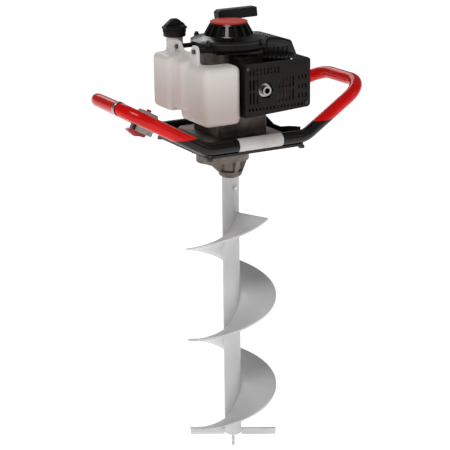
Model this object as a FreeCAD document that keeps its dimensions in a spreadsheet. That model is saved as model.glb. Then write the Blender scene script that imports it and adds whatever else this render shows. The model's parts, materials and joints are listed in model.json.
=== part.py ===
import FreeCAD, Part
import math
import os
import re
import Sketcher

# Two-person earth auger with a two-stroke engine, a two-stage gearbox, a closed tube frame and a helical bit.
# Millimetres. The origin is the bit's pilot tip on the drive axis, +Z up, +X to the right along the front
# tube, +Y away from the side that carries the exhaust. Everything on the frame is drawn from the level of the
# frame's lowest tube centre, which is frame_height above the tip, so those sub-parts share that Placement.

Vec = FreeCAD.Vector
doc = FreeCAD.newDocument("EarthAuger")

SIZES = {
    # frame of bent tube and its folded plate
    "frame_height": 747,
    "tube_radius": 14,
    "tube_wall": 2,
    "base_half_width": 119,
    "base_half_depth": 115,
    "grip_half_spacing": 285,
    "grip_half_length": 93,
    "grip_rise": 94,
    "bend_radius": 60,
    "seat_gap": 0.3,
    "plate_half_width": 120,
    "plate_half_depth": 122,
    "plate_corner": 14,
    "plate_thickness": 5,
    "frame_bolt_x": 111,
    "gusset_thickness": 4,
    "gusset_foot": 23,
    "gusset_end_height": 20,
    "gusset_waist_height": 1,
    "gusset_half_length": 97,
    "gusset_bolt_y": 35,
    # gear train
    "centre_distance": 37.5,
    "first_pinion_teeth": 8,
    "first_gear_teeth": 52,
    "second_pinion_teeth": 9,
    "second_gear_teeth": 41,
    "pressure_angle": 25,
    "backlash": 0.16,
    "input_shaft_radius": 5,
    "counter_shaft_radius": 6,
    "output_shaft_radius": 10,
    "first_gear_face": 10,
    "second_gear_face": 16,
    "gear_hole": 36.5,
    "case_bolt_reach": 47,
    "case_flange_radius": 54,
    "running_gap": 0.05,
    "fit_gap": 0.02,
    # gearbox housings
    "case_wall": 4.5,
    "case_depth": 58,
    "flange_thickness": 6,
    "nose_radius": 22,
    "nose_ring_radius": 26,
    "nose_ring_height": 11,
    "nose_depth": 96,
    "upper_output_bearing": -66,
    "lower_output_bearing": -90,
    "plate_floor": -14.3,
    "first_gear_bottom": -32,
    "second_gear_bottom": -52,
    "counter_shaft_top": -6.5,
    "counter_shaft_bottom": -61,
    "rib_thickness": 9,
    "upper_web_top": 5,
    "upper_half_width": 92,
    "upper_half_depth": 98,
    "output_bearing_radius": 18.5,
    "output_bearing_width": 9,
    "counter_bearing_radius": 14,
    "counter_bearing_width": 8,
    "input_bearing_radius": 13,
    "input_bearing_width": 8,
    "small_bolt_radius": 3,
    "small_head_width": 10,
    "small_head_height": 4,
    "large_bolt_radius": 4,
    "large_head_width": 13,
    "large_head_height": 5.5,
    # clutch
    "drum_radius": 40.5,
    "drum_wall": 2.5,
    "drum_height": 26,
    "drum_floor_height": 9,
    "turret_half_width": 60,
    "turret_corner": 10,
    "skirt_height": 14,
    "turret_bore": 44,
    "turret_top": 42,
    # engine
    "crank_height": 110,
    "crank_throw": 17,
    "crank_journal_radius": 7.5,
    "crank_web_radius": 32,
    "crank_web_thickness": 11,
    "crank_pin_radius": 7,
    "crank_pin_length": 13,
    "main_bearing_radius": 16,
    "rod_length": 62,
    "rod_thickness": 10,
    "bore_radius": 22,
    "piston_length": 30,
    "wrist_pin_radius": 5,
    "crankcase_half_width": 53,
    "crankcase_top": 181,
    "cylinder_start": 53.2,
    "cylinder_wall": 4,
    "fin_radius": 38,
    "fin_thickness": 2,
    "fin_pitch": 7,
    "fin_count": 8,
    "cylinder_length": 66,
    "flywheel_radius": 62,
    "flywheel_bottom": 188,
    "flywheel_thickness": 9,
    "fan_blade_height": 5,
    "fan_blade_count": 12,
    # shrouds and starter
    "shroud_radius": 82,
    "shroud_wall": 2.5,
    "shroud_bottom": 184,
    "shroud_split": 202.5,
    "shoulder_height": 208,
    "cone_base_radius": 54,
    "cone_base_height": 214,
    "cone_top_radius": 39.5,
    "cone_top_height": 240,
    "cone_slot_count": 16,
    "cone_slot_width": 14,
    "disc_radius": 40,
    "disc_thickness": 3,
    "pulley_radius": 27,
    "pulley_bottom": 206,
    "pulley_thickness": 10,
    "rope_radius": 2,
    "handle_length": 98,
    "handle_depth": 20,
    "handle_height": 22,
    "handle_bottom": 236,
    "handle_x": 2,
    "handle_y": 60,
    "handle_stem_length": 40,
    "rope_x": 24,
    "rope_guide_height": 226,
    "cover_bottom": 158,
    "cover_end": 140,
    "cover_half_width": 52,
    "cover_top": 205,
    # muffler and guard
    "guard_left": -30,
    "guard_right": 128,
    "guard_front": -122,
    "guard_back": -53.3,
    "guard_bottom": 57,
    "guard_top": 180,
    "guard_taper": 9,
    "guard_slope": 10,
    "guard_wall": 2.5,
    "guard_corner": 8,
    "slot_pitch": 8.5,
    "slot_width": 3.6,
    "muffler_left": -4,
    "muffler_right": 112,
    "muffler_front": -114,
    "muffler_back": -62,
    "muffler_bottom": 74,
    "muffler_top": 152,
    "muffler_wall": 2,
    "exhaust_x": 19,
    "exhaust_height": 111,
    "exhaust_radius": 10,
    "exhaust_bore": 6,
    "exhaust_reach": 128,
    # tank
    "tank_left": 119,
    "tank_inner": 88,
    "tank_front": 113,
    "tank_front_back": 62,
    "tank_front_right": 33,
    "tank_front_bottom": 43,
    "tank_front_top": 167,
    "tank_rear_left": 145,
    "tank_rear_inner": 80,
    "tank_rear_length": 81,
    "tank_rear_bottom": 61,
    "tank_rear_top": 179,
    "tank_corner": 13,
    "tank_wall": 3,
    "neck_x": 101,
    "neck_y": 56,
    "neck_radius": 18,
    "neck_bore": 14,
    "neck_top": 228,
    "ear_x": 105,
    "ear_middle": -9,
    "lug_radius": 5,
    "ear_y": 39,
    "ear_height": 205.4,
    "ear_radius": 15,
    "ear_thickness": 7,
    "tank_screw_radius": 2.5,
    "cap_radius": 24,
    "cap_skirt_height": 20,
    "cap_flange_radius": 27,
    "cap_flange_height": 7,
    "cap_knob_height": 17,
    "cap_knob_thickness": 11,
    # air intake side
    "intake_x": 82,
    "insulator_thickness": 12,
    "carburettor_depth": 34,
    "filter_base_thickness": 6,
    "filter_cover_depth": 34,
    # hand controls on the left rear leg
    "control_share": 0.09,
    "control_length": 40,
    "control_half_width": 17,
    "trigger_reach": 58,
    "control_top": 24,
    # bit
    "bit_gap": 2,
    "bit_tube_radius": 19,
    "bit_bore": 15,
    "bit_radius": 100,
    "flight_pitch": 216,
    "flight_turns": 2.4,
    "flight_thickness": 4,
    "flight_bottom": 47,
    "blade_height": 15,
    "blade_thickness": 6,
    "blade_reach": 98,
    "blade_bottom": 38,
    "pilot_radius": 4.5,
    "pin_radius": 4,
    "pin_drop": 24,
    "bit_turn": -29,
}

sheet = doc.addObject("Spreadsheet::Sheet", "Sizes")
for row, (word, number) in enumerate(SIZES.items(), 1):
    sheet.set("A%d" % row, word)
    sheet.set("B%d" % row, str(number))
    sheet.setAlias("B%d" % row, word)
doc.recompute()

WORD = re.compile(r"[a-z][a-z0-9_]*")
subparts = []


def tied(text):
    """The expression with each size's word led to its cell in the sheet."""
    return WORD.sub(lambda m: "Sizes." + m.group() if m.group() in SIZES else m.group(), str(text))


def value(text):
    """The number that an expression of sizes has now."""
    return float(doc.getObject("Sizes").evalExpression(tied(text)))


def bind(thing, **fields):
    """Tie fields of an object to expressions of sizes. Two underscores stand for a dot."""
    for field, text in fields.items():
        thing.setExpression(field.replace("__", "."), tied(text))
    return thing


def stand(thing, x="0", y="0", z="0"):
    """Tie the place of an object's own origin."""
    return bind(thing, Placement__Base__x=x, Placement__Base__y=y, Placement__Base__z=z)


def cylinder(radius, height, x="0", y="0", z="0", along="z"):
    """A round bar from its end face's centre, along +X, +Y or +Z."""
    bar = doc.addObject("Part::Cylinder", "bar")
    turn = {"x": FreeCAD.Rotation(Vec(0, 1, 0), 90), "y": FreeCAD.Rotation(Vec(1, 0, 0), -90)}
    if along in turn:
        bar.Placement = FreeCAD.Placement(Vec(), turn[along])
    bind(bar, Radius=radius, Height=height)
    return stand(bar, x, y, z)


def cone(radius_low, radius_high, height, x="0", y="0", z="0"):
    taper = doc.addObject("Part::Cone", "taper")
    bind(taper, Radius1=radius_low, Radius2=radius_high, Height=height)
    return stand(taper, x, y, z)


def box(length, width, height, x="0", y="0", z="0"):
    """A block from its corner with the lowest x, y and z."""
    block = doc.addObject("Part::Box", "block")
    bind(block, Length=length, Width=width, Height=height)
    return stand(block, x, y, z)


def fuse(*pieces):
    joined = doc.addObject("Part::MultiFuse", "joined")
    joined.Shapes = list(pieces)
    joined.Refine = True
    return joined


def cut(base, *tools):
    carved = doc.addObject("Part::Cut", "carved")
    carved.Base = base
    carved.Tool = tools[0] if len(tools) == 1 else fuse(*tools)
    carved.Refine = True
    return carved


def group(*pieces):
    together = doc.addObject("Part::Compound", "together")
    together.Links = list(pieces)
    return together


def mirror_x(piece):
    """The same piece on the other side of the YZ plane."""
    twin = doc.addObject("Part::Mirroring", "twin")
    twin.Source = piece
    twin.Normal = Vec(1, 0, 0)
    return twin


def new_body():
    return doc.addObject("PartDesign::Body", "body")


def sketch_on(body, role, offset="0"):
    """An empty sketch on one of the body's own origin planes, moved along that plane's normal."""
    plane = [item for item in body.Origin.OriginFeatures if item.Role == role][0]
    sketch = body.newObject("Sketcher::SketchObject", "outline")
    sketch.AttachmentSupport = [(plane, "")]
    sketch.MapMode = "FlatFace"
    bind(sketch, AttachmentOffset__Base__z=offset)
    return sketch


def polygon(sketch, corners):
    """A closed run of straight sides whose corners are tied to the sheet."""
    first = sketch.GeometryCount
    count = len(corners)
    places = [Vec(value(x), value(y), 0) for x, y in corners]
    for i in range(count):
        sketch.addGeometry(Part.LineSegment(places[i], places[(i + 1) % count]), False)
    for i in range(count):
        sketch.addConstraint(Sketcher.Constraint("Coincident", first + i, 2, first + (i + 1) % count, 1))
    for i, (x, y) in enumerate(corners):
        for kind, axis, text, number in (
            ("DistanceX", -2, x, places[i].x),
            ("DistanceY", -1, y, places[i].y),
        ):
            if abs(number) < 1e-9:
                sketch.addConstraint(Sketcher.Constraint("PointOnObject", first + i, 1, axis))
                continue
            index = sketch.addConstraint(Sketcher.Constraint(kind, -1, 1, first + i, 1, number))
            sketch.setExpression("Constraints[%d]" % index, tied(text))
    return sketch


def circle(sketch, x, y, radius):
    """A circle whose centre and radius are tied to the sheet."""
    index = sketch.addGeometry(Part.Circle(Vec(value(x), value(y), 0), Vec(0, 0, 1), value(radius)), False)
    for kind, axis, text in (("DistanceX", -2, x), ("DistanceY", -1, y)):
        if abs(value(text)) < 1e-9:
            sketch.addConstraint(Sketcher.Constraint("PointOnObject", index, 3, axis))
            continue
        place = sketch.addConstraint(Sketcher.Constraint(kind, -1, 1, index, 3, value(text)))
        sketch.setExpression("Constraints[%d]" % place, tied(text))
    size = sketch.addConstraint(Sketcher.Constraint("Radius", index, value(radius)))
    sketch.setExpression("Constraints[%d]" % size, tied(radius))
    return sketch


def pad(body, sketch, length):
    feature = body.newObject("PartDesign::Pad", "pad")
    feature.Profile = sketch
    return bind(feature, Length=length)


def pocket(body, sketch, length):
    """Cut along the sketch's normal."""
    before = body.Tip
    feature = body.newObject("PartDesign::Pocket", "pocket")
    feature.Profile = sketch
    feature.Reversed = True
    bind(feature, Length=length)
    doc.recompute()
    assert feature.Shape.Volume < before.Shape.Volume - 0.5, "a pocket cut nothing"
    return feature


def revolve(body, sketch, axis="V_Axis"):
    feature = body.newObject("PartDesign::Revolution", "revolution")
    feature.Profile = sketch
    feature.ReferenceAxis = (sketch, [axis])
    feature.Angle = 360
    return feature


def turned(profile, x="0", y="0"):
    """A body of revolution about +Z through x, y. The profile is pairs of radius and height."""
    body = new_body()
    revolve(body, polygon(sketch_on(body, "XZ_Plane"), profile))
    return stand(body, x, y)


def turned_x(profile, y="0", z="0"):
    """A body of revolution about +X. The profile is pairs of place along X and radius."""
    body = new_body()
    revolve(body, polygon(sketch_on(body, "XZ_Plane"), profile), "H_Axis")
    return stand(body, "0", y, z)


def prism(role, corners, length, offset="0"):
    """A body that is one padded outline."""
    body = new_body()
    pad(body, polygon(sketch_on(body, role, offset), corners), length)
    return body


def edges_where(feature, test):
    """Names of the feature's edges that pass a test of their direction and middle."""
    names = []
    for number, edge in enumerate(feature.Shape.Edges, 1):
        middle = edge.valueAt((edge.FirstParameter + edge.LastParameter) / 2)
        slope = edge.tangentAt((edge.FirstParameter + edge.LastParameter) / 2)
        if test(slope, middle):
            names.append("Edge%d" % number)
    return names


def fillet(body, radius, test):
    """Round the edges of the body's last feature that pass a test."""
    doc.recompute()
    base = body.Tip
    feature = body.newObject("PartDesign::Fillet", "rounding")
    feature.Base = (base, edges_where(base, test))
    return bind(feature, Radius=radius)


def upright(slope, middle):
    return abs(slope.z) > 0.99


def not_upright(slope, middle):
    return abs(slope.z) < 0.3


def repeat(body, feature, axis, length, count):
    """A row of a feature along one of the body's own axes."""
    row = body.newObject("PartDesign::LinearPattern", "row")
    line = [item for item in body.Origin.OriginFeatures if item.Role == axis][0]
    row.Originals = [feature]
    row.Direction = (line, [""])
    bind(row, Length=length, Occurrences=count)
    body.Tip = row
    return row


def ring_of(body, feature, count):
    """A feature repeated all round the body's own Z axis."""
    wheel = body.newObject("PartDesign::PolarPattern", "wheel")
    line = [item for item in body.Origin.OriginFeatures if item.Role == "Z_Axis"][0]
    wheel.Originals = [feature]
    wheel.Axis = (line, [""])
    wheel.Angle = 360
    bind(wheel, Occurrences=count)
    body.Tip = wheel
    return wheel


def hexagon_bolt(radius, width, head, length, x, y, z, up=True):
    """A bolt whose head sits at height z, above it or below it, with the shank on the other side."""
    nut = doc.addObject("Part::Prism", "head")
    nut.Polygon = 6
    bind(nut, Circumradius="(%s) / sqrt(3)" % width, Height=head)
    shank_z, head_z = ("(%s) - (%s)" % (z, length), z) if up else (z, "(%s) - (%s)" % (z, head))
    stand(nut, x, y, head_z)
    return fuse(nut, cylinder(radius, length, x, y, shank_z))


def side_screw(radius, head_radius, head, length, x, y, z, along):
    """A round-headed screw along an axis: the head starts at the place given and the shank goes on."""
    step = {"x": (1, 0), "y": (0, 1)}[along]
    shank_x = "(%s) + %d * (%s)" % (x, step[0], head)
    shank_y = "(%s) + %d * (%s)" % (y, step[1], head)
    return fuse(
        cylinder(head_radius, head, x, y, z, along),
        cylinder(radius, length, shank_x, shank_y, z, along),
    )


def keep(label, thing, raised=True):
    """Name a sub-part. Those on the frame are lifted to the frame's height."""
    thing.Label = label
    if raised:
        bind(thing, Placement__Base__z="frame_height")
    subparts.append(thing)
    return thing


def made(label, shape, raised=True):
    """A sub-part whose shape is worked out here because no feature makes it."""
    thing = doc.addObject("Part::Feature", "shape")
    thing.Shape = shape
    return keep(label, group(thing), raised)


def rounded_path(corners, radius):
    """Straight runs through the corners, joined by tangent arcs, as one wire."""
    edges = []
    start = corners[0]
    for before, corner, after in zip(corners, corners[1:], corners[2:]):
        back = (before - corner).normalize()
        ahead = (after - corner).normalize()
        half = back.getAngle(ahead) / 2
        reach = radius / math.tan(half)
        entry = corner + back * reach
        leave = corner + ahead * reach
        middle = (back + ahead).normalize()
        centre = corner + middle * (radius / math.sin(half))
        edges.append(Part.LineSegment(start, entry).toShape())
        edges.append(Part.Arc(entry, centre - middle * radius, leave).toShape())
        start = leave
    edges.append(Part.LineSegment(start, corners[-1]).toShape())
    return Part.Wire(edges)


def pipe(path, radius):
    """A round solid along a path."""
    first = path.Edges[0]
    ring = Part.Circle(first.valueAt(first.FirstParameter), first.tangentAt(first.FirstParameter), radius)
    return path.makePipeShell([Part.Wire(ring.toShape())], True, False)


def frame_corners():
    """Corners of the tube's right half, from the middle of the front to the middle of the back."""
    width, depth = value("base_half_width"), value("base_half_depth")
    grip, length, rise = value("grip_half_spacing"), value("grip_half_length"), value("grip_rise")
    front = [Vec(0, -depth, 0), Vec(width, -depth, 0), Vec(grip, -length, rise)]
    return front + [Vec(c.x, -c.y, c.z) for c in reversed(front)]


def handlebar_frame():
    """One closed loop of tube: two grips that rise from a flat base, with a weld bush at each bolt."""
    path = rounded_path(frame_corners(), value("bend_radius"))
    radius = value("tube_radius")
    half = pipe(path, radius).cut(pipe(path, value("tube_radius - tube_wall")))
    hole = value("large_bolt_radius + fit_gap")
    holes = [
        Part.makeCylinder(hole, radius, Vec(value("frame_bolt_x"), end * value("base_half_depth"), -radius))
        for end in (-1, 1)
    ]
    half = half.cut(holes)
    made("handlebar_frame", half.fuse(half.mirror(Vec(), Vec(1, 0, 0))).removeSplitter())


def plate_outline():
    """The plate's cut-cornered outline."""
    inner_x, inner_y = "plate_half_width - plate_corner", "plate_half_depth - plate_corner"
    right = [
        (inner_x, "-plate_half_depth"),
        ("plate_half_width", "-(%s)" % inner_y),
        ("plate_half_width", inner_y),
        (inner_x, "plate_half_depth"),
    ]
    return right + [("-(%s)" % x, y) for x, y in reversed(right)]


def base_plate():
    """A flat steel plate under the tube, open at the gear case and drilled for its bolts."""
    body = prism("XY_Plane", plate_outline(), "plate_thickness", plate_under())
    floor = "%s - 1" % plate_under()
    depth = "plate_thickness + 2"
    tools = [
        cylinder("gear_hole", depth, "0", "0", floor),
        cylinder("gear_hole", depth, "-centre_distance", "0", floor),
        box("centre_distance", "2 * gear_hole", depth, "-centre_distance", "-gear_hole", floor),
    ]
    for x, y in case_bolt_places():
        tools.append(cylinder("small_bolt_radius + fit_gap", depth, x, y, floor))
    for x, y in frame_bolt_places() + gusset_bolt_places():
        tools.append(cylinder("large_bolt_radius + fit_gap", depth, x, y, floor))
    keep("base_plate", cut(body, *tools))


def case_bolt_places():
    """Six bolts round the gear case, the same ones through both housings and the plate."""
    reach = "case_bolt_reach * 0.75"
    return [
        (reach, reach),
        (reach, "-" + reach),
        ("-centre_distance / 2", "case_bolt_reach"),
        ("-centre_distance / 2", "-case_bolt_reach"),
        ("-centre_distance - " + reach, reach),
        ("-centre_distance - " + reach, "-" + reach),
    ]


def frame_bolt_places():
    return [
        ("%sframe_bolt_x" % side, "%sbase_half_depth" % end)
        for side in ("", "-")
        for end in ("", "-")
    ]


def gusset_bolt_places():
    x = "plate_half_width - gusset_thickness - gusset_foot / 2"
    return [
        ("%s(%s)" % (side, x), "%sgusset_bolt_y" % end)
        for side in ("", "-")
        for end in ("", "-")
    ]


def plate_top():
    return "-(tube_radius + seat_gap)"


def plate_under():
    return "-(tube_radius + seat_gap + plate_thickness)"


def side_gussets():
    """An angle plate along each side whose top edge dips between the two legs."""
    face = "plate_half_width - gusset_thickness"
    length = "gusset_half_length"
    blade = prism(
        "YZ_Plane",
        [
            ("-%s" % length, plate_top()),
            (length, plate_top()),
            (length, "gusset_end_height"),
            ("%s * 0.55" % length, "gusset_end_height * 0.75"),
            ("%s * 0.15" % length, "gusset_waist_height"),
            ("-%s * 0.15" % length, "gusset_waist_height"),
            ("-%s * 0.55" % length, "gusset_end_height * 0.5"),
            ("-%s" % length, "gusset_end_height * 0.85"),
        ],
        "gusset_thickness",
        face,
    )
    foot = box(
        "gusset_foot",
        "2 * gusset_half_length",
        "gusset_thickness",
        "%s - gusset_foot" % face,
        "-gusset_half_length",
        plate_top(),
    )
    holes = [
        cylinder("large_bolt_radius + fit_gap", "gusset_thickness + 2", x, y, "%s - 1" % plate_top())
        for x, y in gusset_bolt_places()[:2]
    ]
    right = cut(fuse(blade, foot), *holes)
    keep("side_gussets", group(right, mirror_x(right)))


def frame_bolts():
    """Bolts from below: four up into the tube and four through the gussets' feet."""
    bolts = []
    for x, y in frame_bolt_places():
        bolts.append(
            hexagon_bolt(
                "large_bolt_radius",
                "large_head_width",
                "large_head_height",
                "plate_thickness + seat_gap + tube_wall + 6",
                x,
                y,
                plate_under(),
                up=False,
            ),
        )
    for x, y in gusset_bolt_places():
        bolts.append(
            hexagon_bolt(
                "large_bolt_radius",
                "large_head_width",
                "large_head_height",
                "plate_thickness + gusset_thickness + 3",
                x,
                y,
                plate_under(),
                up=False,
            ),
        )
    keep("frame_bolts", group(*bolts))


def case_column(radius, height, z):
    """The outline that follows both gear axes, as one upright solid."""
    return [
        cylinder(radius, height, "0", "0", z),
        cylinder(radius, height, "-centre_distance", "0", z),
        box("centre_distance", "2 * (%s)" % radius, height, "-centre_distance", "-(%s)" % radius, z),
    ]


def gearbox_lower_housing():
    """The cast case under the plate: gear case, bolted flange, bearing bosses, nose and side ribs."""
    under = plate_under()
    case = case_column("gear_hole + case_wall", "case_depth + (%s)" % under, "-case_depth")
    flange = case_column("case_flange_radius", "flange_thickness", "%s - flange_thickness" % under)
    nose = cylinder("nose_radius", "nose_depth - case_depth + 1", "0", "0", "-nose_depth")
    ring = turned(
        [
            ("0", "-nose_depth"),
            ("nose_ring_radius - 3", "-nose_depth"),
            ("nose_ring_radius", "-nose_depth + 4"),
            ("nose_ring_radius", "-nose_depth + nose_ring_height"),
            ("nose_radius", "-nose_depth + nose_ring_height + 3"),
            ("0", "-nose_depth + nose_ring_height + 3"),
        ]
    )
    boss = cylinder(
        "counter_bearing_radius + case_wall",
        "counter_bearing_width + 4",
        "-centre_distance",
        "0",
        "-(case_depth + counter_bearing_width)",
    )
    ribs = [
        prism(
            "XZ_Plane",
            [
                ("nose_radius - 6", "-nose_depth + 4"),
                ("nose_ring_radius + 2", "-nose_depth + 4"),
                ("gear_hole + case_wall + 8", "-case_depth + 14"),
                ("gear_hole + case_wall + 8", under),
                ("gear_hole", under),
                ("gear_hole", "-case_depth + 2"),
                ("nose_radius - 6", "-case_depth + 2"),
            ],
            "rib_thickness",
            "-rib_thickness / 2",
        ),
        prism(
            "XZ_Plane",
            [
                ("-nose_radius + 6", "-nose_depth + 8"),
                ("-nose_ring_radius", "-nose_depth + 8"),
                ("-centre_distance - counter_bearing_radius", "-case_depth - 6"),
                ("-centre_distance - counter_bearing_radius", "-case_depth + 2"),
                ("-nose_radius + 6", "-case_depth + 2"),
            ],
            "rib_thickness",
            "-rib_thickness / 2",
        ),
        prism(
            "YZ_Plane",
            [
                ("-nose_radius + 4", "-nose_depth + 10"),
                ("-nose_ring_radius", "-nose_depth + 10"),
                ("-gear_hole", "-case_depth"),
                ("-gear_hole", "-case_depth + 2"),
                ("gear_hole", "-case_depth + 2"),
                ("gear_hole", "-case_depth"),
                ("nose_ring_radius", "-nose_depth + 10"),
                ("nose_radius - 4", "-nose_depth + 10"),
            ],
            "rib_thickness",
            "-rib_thickness / 2",
        ),
    ]
    solid = fuse(*case, *flange, nose, ring, boss, *ribs)
    hollow = case_column("gear_hole", "case_depth - case_wall", "-case_depth + case_wall")
    bearing = "output_bearing_radius"
    hollow += [
        cylinder(bearing, "output_bearing_width", "0", "0", "upper_output_bearing"),
        cylinder(
            bearing,
            "lower_output_bearing + output_bearing_width + nose_depth",
            "0",
            "0",
            "-nose_depth",
        ),
        cylinder("output_shaft_radius + 2", "nose_depth", "0", "0", "-nose_depth"),
        cylinder(
            "counter_bearing_radius",
            "counter_bearing_width + case_wall",
            "-centre_distance",
            "0",
            "-(case_depth + counter_bearing_width - case_wall)",
        ),
    ]
    for x, y in case_bolt_places():
        hollow.append(
            cylinder(
                "small_bolt_radius + fit_gap",
                "flange_thickness + 2",
                x,
                y,
                "%s - flange_thickness - 1" % under,
            ),
        )
    keep("gearbox_lower_housing", cut(solid, *hollow))


def square_column(half, corner, bottom, height):
    """An upright square block about the drive axis with rounded corners."""
    body = prism(
        "XY_Plane",
        [("-" + half, "-" + half), (half, "-" + half), (half, half), ("-" + half, half)],
        height,
        bottom,
    )
    fillet(body, corner, upright)
    return body


def gearbox_upper_housing():
    """The wide cast foot on the plate with the clutch turret on top of it."""
    foot = new_body()
    pad(
        foot,
        polygon(
            sketch_on(foot, "XY_Plane", plate_top()),
            [
                ("-upper_half_width", "-upper_half_depth + 16"),
                ("-upper_half_width + 16", "-upper_half_depth"),
                ("upper_half_width - 16", "-upper_half_depth"),
                ("upper_half_width", "-upper_half_depth + 16"),
                ("upper_half_width", "upper_half_depth - 16"),
                ("upper_half_width - 16", "upper_half_depth"),
                ("-upper_half_width + 16", "upper_half_depth"),
                ("-upper_half_width", "upper_half_depth - 16"),
            ],
        ),
        "upper_web_top + tube_radius + seat_gap",
    )
    doc.recompute()
    top = value("upper_web_top")
    slab = foot.Tip
    bevel = foot.newObject("PartDesign::Chamfer", "bevel")
    bevel.Base = (slab, edges_where(slab, lambda slope, middle: abs(middle.z - top) < 0.1))
    bind(bevel, Size="7")
    turret = square_column(
        "turret_half_width",
        "turret_corner",
        "upper_web_top - 1",
        "turret_top - upper_web_top + 1",
    )
    bore = cylinder("turret_bore", "turret_top", "0", "0", "upper_web_top + 1")
    input_pocket = cylinder(
        "input_bearing_radius",
        "2 * input_bearing_width + 5",
        "0",
        "0",
        "plate_floor + 1",
    )
    input_hole = cylinder("input_shaft_radius + 2", "60", "0", "0", "plate_floor - 10")
    counter_pocket = cylinder(
        "counter_bearing_radius",
        "counter_bearing_width + 1",
        "-centre_distance",
        "0",
        "plate_floor - 1",
    )
    hollow = cut(
        box(
            "2 * (upper_half_width - 16)",
            "2 * (upper_half_depth - 8)",
            "upper_web_top - 6 + tube_radius + seat_gap",
            "-upper_half_width + 16",
            "-upper_half_depth + 8",
            plate_top(),
        ),
        *case_column("case_flange_radius", "3 * tube_radius", "-2 * tube_radius"),
    )
    tools = [bore, input_pocket, input_hole, counter_pocket, hollow]
    for x, y in case_bolt_places():
        tools.append(cylinder("small_bolt_radius + fit_gap", "8", x, y, "plate_floor - 1"))
    keep("gearbox_upper_housing", cut(fuse(foot, turret), *tools))


def gearbox_bolts():
    """Six bolts from below that clamp the lower housing and the plate to the upper housing."""
    seat = "%s - flange_thickness" % plate_under()
    length = "flange_thickness + plate_thickness + 6"
    bolts = [
        hexagon_bolt(
            "small_bolt_radius",
            "small_head_width",
            "small_head_height",
            length,
            x,
            y,
            seat,
            up=False,
        )
        for x, y in case_bolt_places()
    ]
    keep("gearbox_bolts", group(*bolts))


ROOT_DEPTH = 1.2


def involute_gear(module, teeth, addendum, face, bore, phase):
    """A spur gear blank with involute flanks, cut short enough to run with its mate."""
    slant = math.radians(value("pressure_angle"))
    pitch_radius = module * teeth / 2
    base_radius = pitch_radius * math.cos(slant)
    tip_radius = pitch_radius + addendum * module
    root_radius = pitch_radius - ROOT_DEPTH * module
    half_tooth = math.pi / (2 * teeth) - value("backlash") / (2 * pitch_radius)

    def roll(radius):
        cosine = min(1, base_radius / radius)
        return math.tan(math.acos(cosine)) - math.acos(cosine)

    def half_angle(radius):
        return half_tooth + roll(pitch_radius) - roll(max(radius, base_radius))

    def point(radius, angle):
        return Vec(radius * math.cos(angle), radius * math.sin(angle), 0)

    steps = 3
    low = max(root_radius, base_radius)
    flank = [root_radius] if root_radius < low else []
    flank += [low + (tip_radius - low) * i / steps for i in range(steps + 1)]
    outline = []
    for tooth in range(teeth):
        middle = phase + 2 * math.pi * tooth / teeth
        outline += [point(r, middle - half_angle(r)) for r in flank]
        outline += [point(r, middle + half_angle(r)) for r in reversed(flank)]
    blank = Part.Face(Part.makePolygon(outline + [outline[0]])).extrude(Vec(0, 0, face))
    return blank.cut(Part.makeCylinder(bore, face + 2, Vec(0, 0, -1)))


def gear_modules():
    """Modules of the two stages, which share one centre distance."""
    distance = value("centre_distance")
    first = 2 * distance / value("first_pinion_teeth + first_gear_teeth")
    second = 2 * distance / value("second_pinion_teeth + second_gear_teeth")
    return first, second


def gear_train():
    """Input pinion, countershaft gear and pinion, and output gear, in mesh."""
    first, second = gear_modules()
    axis = Vec(-value("centre_distance"), 0, 0)
    gap = value("fit_gap")
    counter = value("counter_shaft_radius")
    wheel = involute_gear(
        first,
        int(value("first_gear_teeth")),
        0.7,
        value("first_gear_face"),
        counter + gap,
        math.pi / value("first_gear_teeth"),
    )
    wheel.translate(axis + Vec(0, 0, value("first_gear_bottom")))
    made("counter_gear", wheel)
    pinion = involute_gear(
        second,
        int(value("second_pinion_teeth")),
        0.9,
        value("second_gear_face"),
        counter * 0.5,
        0,
    )
    pinion.translate(axis + Vec(0, 0, value("second_gear_bottom")))
    shaft = Part.makeCylinder(
        counter,
        value("counter_shaft_top - counter_shaft_bottom"),
        axis + Vec(0, 0, value("counter_shaft_bottom")),
    )
    neck_bottom = axis + Vec(0, 0, value("second_gear_bottom") - 0.5)
    neck_length = value("second_gear_face") + 1
    neck = second * (value("second_pinion_teeth") / 2 - ROOT_DEPTH)
    groove = Part.makeCylinder(counter + 1, neck_length, neck_bottom).cut(
        Part.makeCylinder(neck, neck_length, neck_bottom),
    )
    made("countershaft", shaft.cut(groove).fuse(pinion))
    wheel = involute_gear(
        second,
        int(value("second_gear_teeth")),
        0.7,
        value("second_gear_face"),
        value("output_shaft_radius") + gap,
        math.pi + math.pi / value("second_gear_teeth"),
    )
    wheel.translate(Vec(0, 0, value("second_gear_bottom")))
    made("output_gear", wheel)
    pinion = involute_gear(first, int(value("first_pinion_teeth")), 0.9, value("first_gear_face + 3"), 2, 0)
    pinion.translate(Vec(0, 0, value("first_gear_bottom - 1")))
    stem_bottom = value("first_gear_bottom + first_gear_face + 1.9")
    stem = Part.makeCylinder(
        value("input_shaft_radius"),
        value("drum_floor_height") - stem_bottom,
        Vec(0, 0, stem_bottom),
    )
    made("input_pinion", pinion.fuse(stem))


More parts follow.
